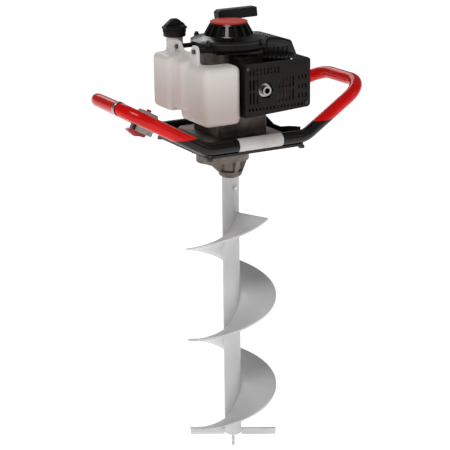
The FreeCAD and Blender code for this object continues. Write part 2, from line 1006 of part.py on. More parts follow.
def bearing(outer, bore, width, x, y, z):
    """A ball bearing as two rings with a shield between them, in one turned solid."""
    groove = "(%s - (%s)) * 0.3" % (outer, bore)
    return [
        (bore, z),
        ("%s + %s" % (bore, groove), z),
        ("%s + %s" % (bore, groove), "%s + 0.8" % z),
        ("%s - %s" % (outer, groove), "%s + 0.8" % z),
        ("%s - %s" % (outer, groove), z),
        (outer, z),
        (outer, "%s + %s" % (z, width)),
        ("%s - %s" % (outer, groove), "%s + %s" % (z, width)),
        ("%s - %s" % (outer, groove), "%s + %s - 0.8" % (z, width)),
        ("%s + %s" % (bore, groove), "%s + %s - 0.8" % (z, width)),
        ("%s + %s" % (bore, groove), "%s + %s" % (z, width)),
        (bore, "%s + %s" % (z, width)),
    ], x, y


def bearings(label, rows):
    """One node of ball bearings, each a turned solid seated in its pocket."""
    races = []
    for outer, shaft, width, x, z in rows:
        profile, px, py = bearing("%s - fit_gap" % outer, "%s + running_gap" % shaft, width, x, "0", z)
        races.append(turned(profile, px, py))
    keep(label, group(*races))


def gearbox_bearings():
    bearings(
        "gearbox_bearings",
        [
            (
                "output_bearing_radius",
                "output_shaft_radius",
                "output_bearing_width",
                "0",
                "upper_output_bearing",
            ),
            (
                "output_bearing_radius",
                "output_shaft_radius",
                "output_bearing_width",
                "0",
                "lower_output_bearing",
            ),
            (
                "counter_bearing_radius",
                "counter_shaft_radius",
                "counter_bearing_width",
                "-centre_distance",
                "-(case_depth + counter_bearing_width - case_wall)",
            ),
            (
                "counter_bearing_radius",
                "counter_shaft_radius",
                "counter_bearing_width",
                "-centre_distance",
                "plate_floor",
            ),
            ("input_bearing_radius", "input_shaft_radius", "input_bearing_width", "0", "plate_floor + 1"),
            (
                "input_bearing_radius",
                "input_shaft_radius",
                "input_bearing_width",
                "0",
                "plate_floor + 1 + input_bearing_width",
            ),
        ],
    )


def output_seal():
    keep(
        "output_seal",
        group(
            turned(
                [
                    ("output_shaft_radius + running_gap", "-nose_depth"),
                    ("output_bearing_radius - fit_gap", "-nose_depth"),
                    ("output_bearing_radius - fit_gap", "lower_output_bearing"),
                    ("output_bearing_radius - 3", "lower_output_bearing"),
                    ("output_bearing_radius - 3", "-nose_depth + 2"),
                    ("output_shaft_radius + 2", "-nose_depth + 2"),
                    ("output_shaft_radius + running_gap", "lower_output_bearing"),
                ]
            )
        ),
    )


def output_shaft():
    """The drive shaft from the output gear down into the bit, cross-drilled for the pin."""
    length = "second_gear_bottom + second_gear_face + nose_depth + bit_gap + pin_drop + 20"
    bottom = "-(nose_depth + bit_gap + pin_drop + 20)"
    hole = cylinder(
        "pin_radius + fit_gap",
        "4 * output_shaft_radius",
        "0",
        "-2 * output_shaft_radius",
        "-(nose_depth + bit_gap + pin_drop)",
        "y",
    )
    keep("output_shaft", cut(cylinder("output_shaft_radius", length, "0", "0", bottom), hole))


def clutch():
    """Drum on the input pinion, and the hub with its two shoes and spring on the crankshaft."""
    drum = turned(
        [
            ("input_shaft_radius * 0.5", "drum_floor_height"),
            ("drum_radius", "drum_floor_height"),
            ("drum_radius", "drum_floor_height + drum_height"),
            ("drum_radius - drum_wall", "drum_floor_height + drum_height"),
            ("drum_radius - drum_wall", "drum_floor_height + drum_wall"),
            ("input_shaft_radius * 0.5", "drum_floor_height + drum_wall"),
        ]
    )
    keep("clutch_drum", group(drum))
    low, tall = "drum_floor_height + drum_wall + 2", "drum_height - drum_wall - 5"
    shoe_radius = "drum_radius - drum_wall - 1"
    disc = cylinder(shoe_radius, tall, "0", "0", low)
    middle = cylinder("16", "drum_height", "0", "0", low)
    split = box("2 * drum_radius", "4", "drum_height", "-drum_radius", "-2", low)
    groove = cut(
        cylinder("28", "5", "0", "0", "%s + 6" % low),
        cylinder("25.5", "7", "0", "0", "%s + 5" % low),
    )
    shoes = cut(disc, middle, split, groove)
    hub = cut(
        fuse(
            cylinder("15.8", tall, "0", "0", low),
            box("2 * 24", "3.4", tall, "-24", "-1.7", low),
        ),
        cylinder("crank_journal_radius + fit_gap", "drum_height", "0", "0", low),
    )
    keep("clutch_hub", hub)
    spring = cut(
        cylinder("27.9", "4", "0", "0", "%s + 6.5" % low),
        cylinder("26.3", "6", "0", "0", "%s + 6" % low),
        box("60", "4.6", "6", "-30", "-2.3", "%s + 6" % low),
    )
    keep("clutch_shoes", group(shoes, spring))


def crankcase():
    """The cast crank chamber with the cylinder's face on the right and its main bearing bores."""
    body = new_body()
    half = "crankcase_half_width"
    pad(
        body,
        polygon(
            sketch_on(body, "XY_Plane", "turret_top"),
            [("-" + half, "-" + half), (half, "-" + half), (half, half), ("-" + half, half)],
        ),
        "crankcase_top - turret_top",
    )
    fillet(body, "12", lambda slope, middle: abs(slope.z) > 0.99 and middle.x < 0)
    chamber = "crank_web_radius + 2"
    bottom = "crank_height - crank_pin_length / 2 - crank_web_thickness - 3"
    tall = "crank_pin_length + 2 * crank_web_thickness + 6"
    tools = [
        cylinder(chamber, tall, "0", "0", bottom),
        box(half, "2 * bore_radius + 1", tall, "4", "-bore_radius - 0.5", bottom),
        cylinder("crank_journal_radius + 8", "crankcase_top", "0", "0", "turret_top - 1"),
        cylinder("main_bearing_radius", "10", "0", "0", "turret_top + 4"),
        cylinder("main_bearing_radius", "%s - (turret_top + 4)" % bottom, "0", "0", "turret_top + 4"),
        cylinder(
            "main_bearing_radius",
            "crankcase_top - 4 - (%s + %s)" % (bottom, tall),
            "0",
            "0",
            "%s + %s - 1" % (bottom, tall),
        ),
    ]
    boss = cylinder("main_bearing_radius + 6", "crankcase_top", "0", "0", "turret_top")
    side = "2 * crankcase_half_width - 16"
    corner = "-crankcase_half_width + 8"
    below = box(side, side, "%s - turret_top - 12" % bottom, corner, corner, "turret_top + 6")
    above = box(
        side,
        side,
        "crankcase_top - 12 - (%s + %s)" % (bottom, tall),
        corner,
        corner,
        "%s + %s + 6" % (bottom, tall),
    )
    tools.append(cut(fuse(below, above), boss))
    skirt = square_column("turret_half_width", "turret_corner", "turret_top", "skirt_height")
    keep("crankcase", cut(fuse(body, skirt), *tools))


def crank_levels():
    """Undersides of the lower and upper webs."""
    low = "crank_height - crank_pin_length / 2 - crank_web_thickness"
    high = "crank_height + crank_pin_length / 2"
    return low, high


def crankshaft():
    """Two webs, the crank pin towards the cylinder, and journals down to the clutch and up to the starter."""
    low, high = crank_levels()
    webs = []
    for z in (low, high):
        disc = cylinder("crank_web_radius", "crank_web_thickness", "0", "0", z)
        side = [
            box(
                "crank_web_radius",
                "crank_web_radius",
                "crank_web_thickness + 2",
                "2",
                "crank_pin_radius + 5",
                "%s - 1" % z,
            ),
            box(
                "crank_web_radius",
                "crank_web_radius",
                "crank_web_thickness + 2",
                "2",
                "-(crank_pin_radius + 5) - crank_web_radius",
                "%s - 1" % z,
            ),
        ]
        webs.append(cut(disc, *side))
    lower = cylinder(
        "crank_journal_radius",
        "%s - (drum_floor_height + drum_wall + 2) + 1" % low,
        "0",
        "0",
        "drum_floor_height + drum_wall + 2",
    )
    upper = cylinder(
        "crank_journal_radius",
        "pulley_bottom - 2 - (%s + crank_web_thickness) + 1" % high,
        "0",
        "0",
        "%s + crank_web_thickness - 1" % high,
    )
    pin = cylinder(
        "crank_pin_radius",
        "crank_pin_length + 2",
        "crank_throw",
        "0",
        "crank_height - crank_pin_length / 2 - 1",
    )
    keep("crankshaft", fuse(*webs, lower, upper, pin))


def main_bearings():
    low, high = crank_levels()
    bearings(
        "main_bearings",
        [
            ("main_bearing_radius", "crank_journal_radius", "10", "0", "%s - 3 - 10" % low),
            (
                "main_bearing_radius",
                "crank_journal_radius",
                "10",
                "0",
                "%s + crank_web_thickness + 3" % high,
            ),
        ],
    )


def connecting_rod():
    """Big end on the crank pin, small end on the wrist pin, and the beam between them."""
    z = "crank_height - rod_thickness / 2"
    eyes = [
        cylinder("crank_pin_radius + 5", "rod_thickness", "crank_throw", "0", z),
        cylinder("wrist_pin_radius + 4", "rod_thickness", "crank_throw + rod_length", "0", z),
        box("rod_length", "9", "rod_thickness - 4", "crank_throw", "-4.5", "%s + 2" % z),
    ]
    bores = [
        cylinder("crank_pin_radius + running_gap", "rod_thickness + 2", "crank_throw", "0", "%s - 1" % z),
        cylinder(
            "wrist_pin_radius + running_gap",
            "rod_thickness + 2",
            "crank_throw + rod_length",
            "0",
            "%s - 1" % z,
        ),
    ]
    keep("connecting_rod", cut(fuse(*eyes), *bores))


def piston():
    """Crown, ring grooves and open skirt, turned about the cylinder's axis and bored for the wrist pin."""
    centre = "crank_throw + rod_length"
    skin = "bore_radius - running_gap"
    start = "%s - piston_length / 2" % centre
    end = "%s + piston_length / 2" % centre
    profile = [
        (start, "bore_radius - 3"),
        (start, skin),
        ("%s - 9" % end, skin),
        ("%s - 9" % end, "bore_radius - 1.5"),
        ("%s - 7" % end, "bore_radius - 1.5"),
        ("%s - 7" % end, skin),
        ("%s - 5" % end, skin),
        ("%s - 5" % end, "bore_radius - 1.5"),
        ("%s - 3" % end, "bore_radius - 1.5"),
        ("%s - 3" % end, skin),
        (end, skin),
        (end, "0"),
        ("%s - 5" % end, "0"),
        ("%s - 5" % end, "bore_radius - 3"),
    ]
    shell = turned_x(profile, "0", "crank_height")
    pin_hole = cylinder(
        "wrist_pin_radius + fit_gap",
        "3 * bore_radius",
        centre,
        "0",
        "crank_height - 1.5 * bore_radius",
    )
    keep("piston", cut(shell, pin_hole))
    pin = cylinder("wrist_pin_radius", "2 * bore_radius - 2", centre, "0", "crank_height - bore_radius + 1")
    keep("wrist_pin", group(pin))


def engine_cylinder():
    """The finned barrel and head, with its ports to the muffler in front and the intake behind."""
    start, wall = "cylinder_start", "bore_radius + cylinder_wall"
    end = "%s + cylinder_length" % start
    profile = [
        (start, "bore_radius"),
        (start, "fin_radius - 2"),
        ("%s + 5" % start, "fin_radius - 2"),
        ("%s + 5" % start, wall),
    ]
    for fin in range(int(value("fin_count"))):
        near = "%s + 10 + %d * fin_pitch" % (start, fin)
        far = "%s + fin_thickness" % near
        profile += [(near, wall), (near, "fin_radius"), (far, "fin_radius"), (far, wall)]
    profile += [
        (end, wall),
        (end, "6"),
        ("%s - 9" % end, "6"),
        ("%s - 9" % end, "bore_radius"),
    ]
    barrel = turned_x(profile, "0", "crank_height")
    inner = "bore_radius + 2"
    exhaust = box(
        "24",
        "fin_radius + 4 - (%s)" % inner,
        "20",
        "%s + 12" % start,
        "-(fin_radius + 4)",
        "crank_height - 10",
    )
    intake = box("24", "fin_radius + 4 - (%s)" % inner, "24", "intake_x - 12", inner, "crank_height - 12")
    exhaust_port = box(
        "14",
        "fin_radius + 6",
        "9",
        "%s + 17" % start,
        "-(fin_radius + 6)",
        "crank_height - 4.5",
    )
    intake_port = cylinder("7", "fin_radius + 6", "intake_x", "0", "crank_height", "y")
    keep("engine_cylinder", cut(fuse(barrel, exhaust, intake), exhaust_port, intake_port))


def spark_plug():
    """Threaded shell in the head, hexagon, insulator and its rubber boot."""
    end = "cylinder_start + cylinder_length"
    plug = turned_x(
        [
            ("%s - 8" % end, "0"),
            ("%s - 8" % end, "5.9"),
            ("%s" % end, "5.9"),
            ("%s" % end, "9.5"),
            ("%s + 8" % end, "9.5"),
            ("%s + 9" % end, "5.5"),
            ("%s + 20" % end, "4"),
            ("%s + 20" % end, "0"),
        ],
        "0",
        "crank_height",
    )
    keep("spark_plug", group(plug))
    boot = turned_x(
        [
            ("%s + 11" % end, "6"),
            ("%s + 11" % end, "9"),
            ("%s + 26" % end, "8"),
            ("%s + 28" % end, "6"),
            ("%s + 28" % end, "0"),
            ("%s + 21" % end, "0"),
            ("%s + 21" % end, "6"),
        ],
        "0",
        "crank_height",
    )
    keep("plug_boot", group(boot))


def flywheel():
    """The magnet wheel with its ring of fan blades."""
    body = new_body()
    top = "flywheel_bottom + flywheel_thickness"
    revolve(
        body,
        polygon(
            sketch_on(body, "XZ_Plane"),
            [
                ("crank_journal_radius + fit_gap", "flywheel_bottom"),
                ("flywheel_radius", "flywheel_bottom"),
                ("flywheel_radius", top),
                ("20", top),
                ("20", "%s + 8" % top),
                ("crank_journal_radius + fit_gap", "%s + 8" % top),
            ],
        ),
    )
    blade = polygon(
        sketch_on(body, "XY_Plane", top),
        [("34", "-1.2"), ("flywheel_radius - 1", "9"), ("flywheel_radius - 1", "11.4"), ("34", "1.2")],
    )
    ring_of(body, pad(body, blade, "fan_blade_height"), "fan_blade_count")
    keep("flywheel", group(body))


def ignition_coil():
    """The laminated core beside the flywheel's rim with its moulded winding."""
    near = "flywheel_radius + 0.4"
    core = cut(
        box("10", "44", "8", near, "-22", "flywheel_bottom + 2"),
        cylinder(near, "12", "0", "0", "flywheel_bottom"),
    )
    winding = box("3", "22", "8", "%s + 10" % near, "-11", "flywheel_bottom + 5")
    keep("ignition_coil", fuse(core, winding))


def ear_places():
    """Where the tank's two ears stand along Y."""
    return ["ear_middle + ear_y", "ear_middle - ear_y"]


def fan_housing():
    """The lower shroud round the flywheel, with two lugs for the tank and four screw bosses."""
    body = new_body()
    inner = "shroud_radius - shroud_wall"
    revolve(
        body,
        polygon(
            sketch_on(body, "XZ_Plane"),
            [
                ("crank_journal_radius + 10", "shroud_bottom"),
                (inner + " - 6", "shroud_bottom"),
                ("shroud_radius", "shroud_bottom + 8"),
                ("shroud_radius", "shroud_split"),
                (inner, "shroud_split"),
                (inner, "shroud_bottom + 9"),
                (inner + " - 6", "shroud_bottom + shroud_wall"),
                ("crank_journal_radius + 10", "shroud_bottom + shroud_wall"),
            ],
        ),
    )
    lugs = []
    holes = []
    for y in ear_places():
        lugs.append(
            cylinder(
                "lug_radius",
                "ear_x - ear_thickness / 2 - 66",
                "-ear_x + ear_thickness / 2 + 0.1",
                y,
                "ear_height - 12",
                "x",
            ),
        )
        holes.append(
            cylinder(
                "tank_screw_radius + fit_gap",
                "14",
                "-ear_x + ear_thickness / 2 - 1",
                y,
                "ear_height - 12",
                "x",
            ),
        )
    bosses = [
        cylinder(
            "6",
            "shroud_split - shroud_bottom - 12",
            "(shroud_radius + 1) * cos(%d)" % angle,
            "(shroud_radius + 1) * sin(%d)" % angle,
            "shroud_bottom + 12",
        )
        for angle in SHROUD_SCREW_ANGLES
    ]
    solid = fuse(body, *lugs, *bosses)
    inside = cylinder(inner, "shroud_split", "0", "0", "shroud_bottom + 9")
    keep("fan_housing", cut(solid, inside, *holes, *shroud_screw_holes()))


SHROUD_SCREW_ANGLES = (-150, -62, 62, 118)


def starter_housing():
    """The upper shroud: stepped shoulder, and a cone of upright slots between thin ribs."""
    body = new_body()
    revolve(
        body,
        polygon(
            sketch_on(body, "XZ_Plane"),
            [
                ("shroud_radius", "shroud_split + 0.1"),
                ("shroud_radius", "shoulder_height - 3"),
                ("shroud_radius - 7", "shoulder_height"),
                ("cone_base_radius + 8", "cone_base_height - 3"),
                ("cone_base_radius", "cone_base_height"),
                ("cone_top_radius", "cone_top_height"),
                ("disc_radius - 9", "cone_top_height"),
                ("disc_radius - 9", "cone_top_height - shroud_wall"),
                ("cone_top_radius - shroud_wall", "cone_top_height - shroud_wall"),
                ("cone_base_radius - shroud_wall", "cone_base_height - shroud_wall"),
                ("shroud_radius - 10", "shoulder_height - shroud_wall"),
                ("shroud_radius - shroud_wall", "shoulder_height - 5"),
                ("shroud_radius - shroud_wall", "shroud_split + 0.1"),
            ],
        ),
    )
    slot = polygon(
        sketch_on(body, "XZ_Plane"),
        [
            ("-cone_slot_width / 2", "cone_base_height + 2"),
            ("cone_slot_width / 2", "cone_base_height + 2"),
            ("cone_slot_width / 2 * cone_top_radius / cone_base_radius", "cone_top_height - 4"),
            ("-cone_slot_width / 2 * cone_top_radius / cone_base_radius", "cone_top_height - 4"),
        ],
    )
    ring_of(body, pocket(body, slot, "2 * shroud_radius"), "cone_slot_count")
    guide = cylinder(
        "6",
        "rope_guide_height - cone_base_height + 6",
        "rope_x",
        "handle_y - 6",
        "cone_base_height - 6",
    )
    tabs = [
        cylinder(
            "6",
            "6",
            "(shroud_radius + 1) * cos(%d)" % angle,
            "(shroud_radius + 1) * sin(%d)" % angle,
            "shroud_split + 0.1",
        )
        for angle in SHROUD_SCREW_ANGLES
    ]
    post = cylinder(
        "6",
        "cone_top_height - (pulley_bottom + pulley_thickness + 1)",
        "0",
        "0",
        "pulley_bottom + pulley_thickness + 1",
    )
    web = box(
        "2 * (disc_radius - 8)",
        "8",
        "shroud_wall",
        "-disc_radius + 8",
        "-4",
        "cone_top_height - shroud_wall",
    )
    rope_hole = cylinder("rope_radius + 0.4", "80", "rope_x", "handle_y - 6", "shroud_split")
    keep("starter_housing", cut(fuse(body, *tabs, guide, post, web), rope_hole, *shroud_screw_holes()))


def shroud_screw_holes():
    return [
        cylinder(
            "2.42",
            "20",
            "(shroud_radius + 1) * cos(%d)" % angle,
            "(shroud_radius + 1) * sin(%d)" % angle,
            "shroud_split - 9",
        )
        for angle in SHROUD_SCREW_ANGLES
    ]


def starter_works():
    """Red disc on the cone, rope pulley with its wound rope, recoil spring, and the pull handle."""
    disc = turned(
        [
            ("0", "cone_top_height + 0.05"),
            ("disc_radius", "cone_top_height + 0.05"),
            ("disc_radius", "cone_top_height + disc_thickness - 1"),
            ("disc_radius - 1.5", "cone_top_height + disc_thickness"),
            ("0", "cone_top_height + disc_thickness"),
        ]
    )
    keep("starter_disc", group(disc))
    top = "pulley_bottom + pulley_thickness"
    pulley = turned(
        [
            ("crank_journal_radius + 1", "pulley_bottom"),
            ("pulley_radius + 7", "pulley_bottom"),
            ("pulley_radius + 7", "pulley_bottom + 2"),
            ("pulley_radius", "pulley_bottom + 3"),
            ("pulley_radius", top + " - 3"),
            ("pulley_radius + 7", top + " - 2"),
            ("pulley_radius + 7", top),
            ("7", top),
            ("7", top + " + 4"),
            ("6.1", top + " + 4"),
            ("6.1", top + " - 2"),
            ("crank_journal_radius + 1", top + " - 2"),
        ]
    )
    post_gap = cylinder("6.1", "6", "0", "0", top + " - 1")
    keep("starter_pulley", cut(pulley, post_gap))
    turns = turned(
        [
            ("pulley_radius + 0.2", "pulley_bottom + 3.2"),
            ("pulley_radius + 5.4", "pulley_bottom + 2.6"),
            ("pulley_radius + 5.4", top + " - 2.6"),
            ("pulley_radius + 0.2", top + " - 3.2"),
        ]
    )
    keep("starter_rope", group(turns))
    outer = cylinder("pulley_radius - 3", "5", "0", "0", top + " + seat_gap")
    inner = cylinder("9", "7", "0", "0", top)
    keep("recoil_spring", cut(outer, inner))


def starter_handle():
    """A long bar with a deep web at its left end, over the rope's guide, and the rope's short tail."""
    body = new_body()
    right, low, high = "handle_x + handle_length", "handle_bottom", "handle_bottom + handle_height"
    pad(
        body,
        polygon(
            sketch_on(body, "XZ_Plane", "-handle_y - handle_depth / 2"),
            [
                ("handle_x + 3", "handle_bottom - 8"),
                ("handle_x + handle_stem_length - 4", "handle_bottom - 8"),
                ("handle_x + handle_stem_length + 8", low),
                (right, low + " + 1"),
                (right + " - 2", high),
                ("handle_x + 6", high + " - 1"),
                ("handle_x", high + " - 6"),
            ],
        ),
        "handle_depth",
    )
    fillet(body, "2.5", lambda slope, middle: abs(slope.y) > 0.99)
    guide_top = "rope_guide_height + 0.3"
    tail = cylinder(
        "rope_radius",
        "handle_bottom - 8 - (%s) + 1" % guide_top,
        "rope_x",
        "handle_y - 6",
        guide_top,
    )
    knot = cylinder("5", "3", "rope_x", "handle_y - 6", guide_top)
    keep("starter_handle", fuse(body, tail, knot))


def cylinder_cover():
    """The domed cowl over the cylinder, hollow from below and cut round the fan housing."""
    body = new_body()
    pad(
        body,
        polygon(
            sketch_on(body, "XZ_Plane", "-cover_half_width"),
            [
                ("shroud_radius - 40", "cover_bottom"),
                ("cover_end", "cover_bottom"),
                ("cover_end", "cover_bottom + 10"),
                ("cover_end - 12", "cover_top - 9"),
                ("cover_end - 40", "cover_top"),
                ("shroud_radius - 10", "cover_top + 3"),
                ("shroud_radius - 40", "cover_top + 3"),
            ],
        ),
        "2 * cover_half_width",
    )
    fillet(body, "9", lambda slope, middle: middle.z > value("cover_bottom + 12") and abs(slope.y) < 0.5)
    doc.recompute()
    hollow = prism(
        "XZ_Plane",
        [
            ("shroud_radius - 41", "cover_bottom - 1"),
            ("cover_end - 3", "cover_bottom - 1"),
            ("cover_end - 3", "cover_bottom + 9"),
            ("cover_end - 15", "cover_top - 13"),
            ("cover_end - 42", "cover_top - 4"),
            ("shroud_radius - 41", "cover_top - 3"),
        ],
        "2 * cover_half_width - 6",
        "-cover_half_width + 3",
    )
    drum = cylinder("shroud_radius + 0.3", "80", "0", "0", "cover_bottom - 1")
    keep("cylinder_cover", cut(body, hollow, drum))


def muffler():
    """A pressed steel box on the cylinder's front port, with its outlet pipe."""

    def shell(inset):
        body = new_body()
        low, high = "muffler_bottom + %s" % inset, "muffler_top - %s" % inset
        left, right = "muffler_left + %s" % inset, "muffler_right - %s" % inset
        corners = [(left, low), (right, low), (right, high), (left, high)]
        back = "-muffler_back + %s" % inset
        pad(
            body,
            polygon(sketch_on(body, "XZ_Plane", back), corners),
            "muffler_back - muffler_front - 2 * %s" % inset,
        )
        fillet(body, "10 - %s" % inset, lambda slope, middle: abs(slope.y) > 0.99)
        return body

    neck = box(
        "24",
        "-muffler_back - (fin_radius + 4) + 1",
        "20",
        "cylinder_start + 12",
        "muffler_back - 1",
        "crank_height - 10",
    )
    seam = box(
        "muffler_right - muffler_left + 3",
        "2",
        "muffler_top - muffler_bottom - 14",
        "muffler_left - 1.5",
        "(muffler_front + muffler_back) / 2",
        "muffler_bottom + 7",
    )
    port = box(
        "14",
        "-muffler_back - fin_radius",
        "9",
        "cylinder_start + 17",
        "muffler_back - 3",
        "crank_height - 4.5",
    )
    hole = cylinder("exhaust_bore + 1", "10", "exhaust_x", "muffler_front - 1", "exhaust_height", "y")
    keep("muffler", cut(fuse(shell("0"), neck, seam), shell("muffler_wall"), port, hole))
    flange = cut(
        fuse(
            cylinder(
                "exhaust_radius",
                "exhaust_reach + muffler_front",
                "exhaust_x",
                "-exhaust_reach",
                "exhaust_height",
                "y",
            ),
            cylinder(
                "exhaust_radius + 4",
                "2.5",
                "exhaust_x",
                "muffler_front - 2.5",
                "exhaust_height",
                "y",
            ),
        ),
        cylinder("exhaust_bore", "60", "exhaust_x", "-exhaust_reach - 2", "exhaust_height", "y"),
    )
    keep("exhaust_outlet", flange)


def muffler_guard():
    """The slotted guard: an open-backed shell that narrows to the right, pierced on its front, top and side."""
    body = new_body()
    wall = "guard_wall"

    def face(inset):
        return [
            ("guard_left + %s" % inset, "guard_bottom + %s" % inset),
            ("guard_right - %s" % inset, "guard_bottom + guard_taper + %s" % inset),
            ("guard_right - %s" % inset, "guard_top - guard_taper - %s" % inset),
            ("guard_left + %s" % inset, "guard_top - %s" % inset),
        ]

    pad(body, polygon(sketch_on(body, "XZ_Plane", "-guard_back"), face("0")), "guard_back - guard_front")
    fillet(
        body,
        "guard_corner",
        lambda slope,
        middle: abs(slope.y) > 0.99 and middle.x > value("guard_left + 2"),
    )
    pocket(
        body,
        polygon(sketch_on(body, "XZ_Plane", "-guard_back"), face(wall)),
        "guard_back - guard_front - guard_wall",
    )
    front = "-guard_front - guard_wall - 1"
    through = "guard_wall + 2"

    def slot(x, z, width, height):
        return [
            (x, z),
            ("%s + %s" % (x, width), z),
            ("%s + %s" % (x, width), "%s + %s" % (z, height)),
            (x, "%s + %s" % (z, height)),
        ]

    def front_row(x, z, height, pitch, count):
        sketch = polygon(sketch_on(body, "XZ_Plane", front), slot(x, z, "slot_width", height))
        cut_one = pocket(body, sketch, through)
        repeat(body, cut_one, "X_Axis", "%s * %d" % (pitch, count - 1), str(count))

    front_row("guard_left + 10", "guard_top - guard_slope - 25", "14", "slot_pitch", 9)
    front_row("guard_left + 8", "guard_bottom + 13", "6", "slot_pitch", 16)
    front_row("guard_left + 10", "guard_bottom + 28", "24", "slot_pitch", 3)
    front_row("guard_left + 10", "guard_bottom + 57", "22", "slot_pitch", 3)
    front_row("guard_left + 80", "guard_bottom + 27", "24", "slot_pitch", 5)
    front_row("guard_left + 80", "guard_bottom + 56", "22", "slot_pitch", 5)
    front_row("guard_left + 128", "guard_bottom + 30", "9", "slot_pitch", 3)
    front_row("guard_left + 128", "guard_bottom + 50", "9", "slot_pitch", 3)
    front_row("guard_left + 128", "guard_bottom + 70", "9", "slot_pitch", 3)
    window = [
        ("exhaust_x + %s * 19 * cos(%d)" % ("1", 60 * k), "exhaust_height + 19 * sin(%d)" % (60 * k))
        for k in range(6)
    ]
    pocket(body, polygon(sketch_on(body, "XZ_Plane", front), window), through)
    for line in range(4):
        y = "guard_front + 9 + %d * 14" % line
        dash = [
            ("guard_left + 12", y),
            ("guard_left + 15.5", y),
            ("guard_left + 20.5", y + " + 8.5"),
            ("guard_left + 17", y + " + 8.5"),
        ]
        one = pocket(body, polygon(sketch_on(body, "XY_Plane", "guard_top - 30"), dash), "40")
        repeat(body, one, "X_Axis", "slot_pitch * 1.25 * 12", "13")
    holes = [
        cylinder("1.92", "20", x, "guard_front - 1", z, "y")
        for x, z in (
            ("guard_left + 5", "guard_top - guard_slope - 10"),
            ("guard_right - 10", "guard_bottom + guard_taper + 9"),
        )
    ]
    slope = prism(
        "YZ_Plane",
        [
            ("guard_front - 1", "guard_top - guard_slope"),
            ("guard_front", "guard_top - guard_slope"),
            ("guard_back", "guard_top"),
            ("guard_back", "guard_top + 1"),
            ("guard_front - 1", "guard_top + 1"),
        ],
        "guard_right - guard_left + 2",
        "guard_left - 1",
    )
    keep("muffler_guard", cut(body, slope, *holes))


def rounded_block(corners, bottom, height, soften):
    """An upright block of a given plan, with its long edges rounded."""
    body = new_body()
    pad(body, polygon(sketch_on(body, "XY_Plane", bottom), corners), height)
    fillet(body, soften, upright)
    fillet(body, "%s - 1" % soften, not_upright)
    return body


def fuel_tank():
    """A blow-moulded tank wrapped round the engine's front left corner: two lobes, neck and two bolt ears."""
    front_plan = [
        ("-tank_left", "-tank_front"),
        ("-tank_front_right", "-tank_front"),
        ("-tank_front_right", "-tank_front_back"),
        ("-tank_inner", "-tank_front_back"),
        ("-tank_inner", "6"),
        ("-tank_left", "6"),
    ]
    front = rounded_block(
        front_plan,
        "tank_front_bottom",
        "tank_front_top - tank_front_bottom",
        "tank_corner",
    )
    rear_plan = [
        ("-tank_rear_left", "0"),
        ("-tank_inner", "0"),
        ("-tank_rear_inner", "30"),
        ("-tank_rear_inner", "tank_rear_length"),
        ("-tank_rear_left", "tank_rear_length"),
    ]
    rear = rounded_block(rear_plan, "tank_rear_bottom", "tank_rear_top - tank_rear_bottom", "tank_corner")
    middle_plan = [
        ("-tank_left - 10", "-34"),
        ("-tank_inner", "-34"),
        ("-tank_inner", "20"),
        ("-tank_left - 10", "20"),
    ]
    middle = rounded_block(
        middle_plan,
        "tank_front_bottom + 24",
        "tank_front_top - tank_front_bottom - 18",
        "tank_corner - 1",
    )
    neck = turned(
        [
            ("0", "tank_rear_top - 10"),
            ("neck_radius + 4", "tank_rear_top - 10"),
            ("neck_radius + 4", "tank_rear_top - 1"),
            ("neck_radius", "tank_rear_top + 4"),
            ("neck_radius", "neck_top"),
            ("0", "neck_top"),
        ],
        "-neck_x",
        "neck_y",
    )
    back, front_ear = ear_places()
    ear_plan = [
        ("%s - ear_radius" % front_ear, "tank_front_top - 12"),
        ("%s + ear_radius" % back, "tank_front_top - 12"),
        ("%s + ear_radius" % back, "ear_height - 12"),
        ("%s + ear_radius * 0.7" % back, "ear_height + 1"),
        ("%s - ear_radius * 0.7" % back, "ear_height + 1"),
        ("%s - ear_radius * 1.6" % back, "ear_height - 16"),
        ("%s + ear_radius * 1.6" % front_ear, "ear_height - 16"),
        ("%s + ear_radius * 0.7" % front_ear, "ear_height + 1"),
        ("%s - ear_radius * 0.7" % front_ear, "ear_height + 1"),
        ("%s - ear_radius" % front_ear, "ear_height - 12"),
    ]
    ears = prism("YZ_Plane", ear_plan, "ear_thickness", "-ear_x - ear_thickness / 2")
    wall = "tank_wall"
    hollow = [
        box(
            "tank_left - tank_front_right - 2 * tank_wall - 6",
            "tank_front - tank_front_back - 2 * tank_wall - 6",
            "tank_front_top - tank_front_bottom - 2 * tank_wall - 6",
            "-tank_left + tank_wall + 3",
            "-tank_front + tank_wall + 3",
            "tank_front_bottom + tank_wall + 3",
        ),
        box(
            "tank_left - tank_inner - 2 * tank_wall",
            "tank_front_back + 14",
            "tank_front_top - tank_rear_bottom - 4 * tank_wall",
            "-tank_left + tank_wall",
            "-tank_front_back - 8",
            "tank_rear_bottom + 2 * tank_wall",
        ),
        box(
            "tank_rear_left - tank_inner - 2 * tank_wall - 6",
            "tank_rear_length - 2 * tank_wall - 6",
            "tank_rear_top - tank_rear_bottom - 2 * tank_wall - 6",
            "-tank_rear_left + tank_wall + 3",
            "tank_wall + 3",
            "tank_rear_bottom + tank_wall + 3",
        ),
        cylinder("neck_bore", "80", "-neck_x", "neck_y", "neck_top - 79"),
    ]
    for y in ear_places():
        hollow.append(
            cylinder("tank_screw_radius + fit_gap", "20", "-ear_x - 10", y, "ear_height - 12", "x"),
        )
    keep("fuel_tank", cut(fuse(front, rear, middle, neck, ears), *hollow))


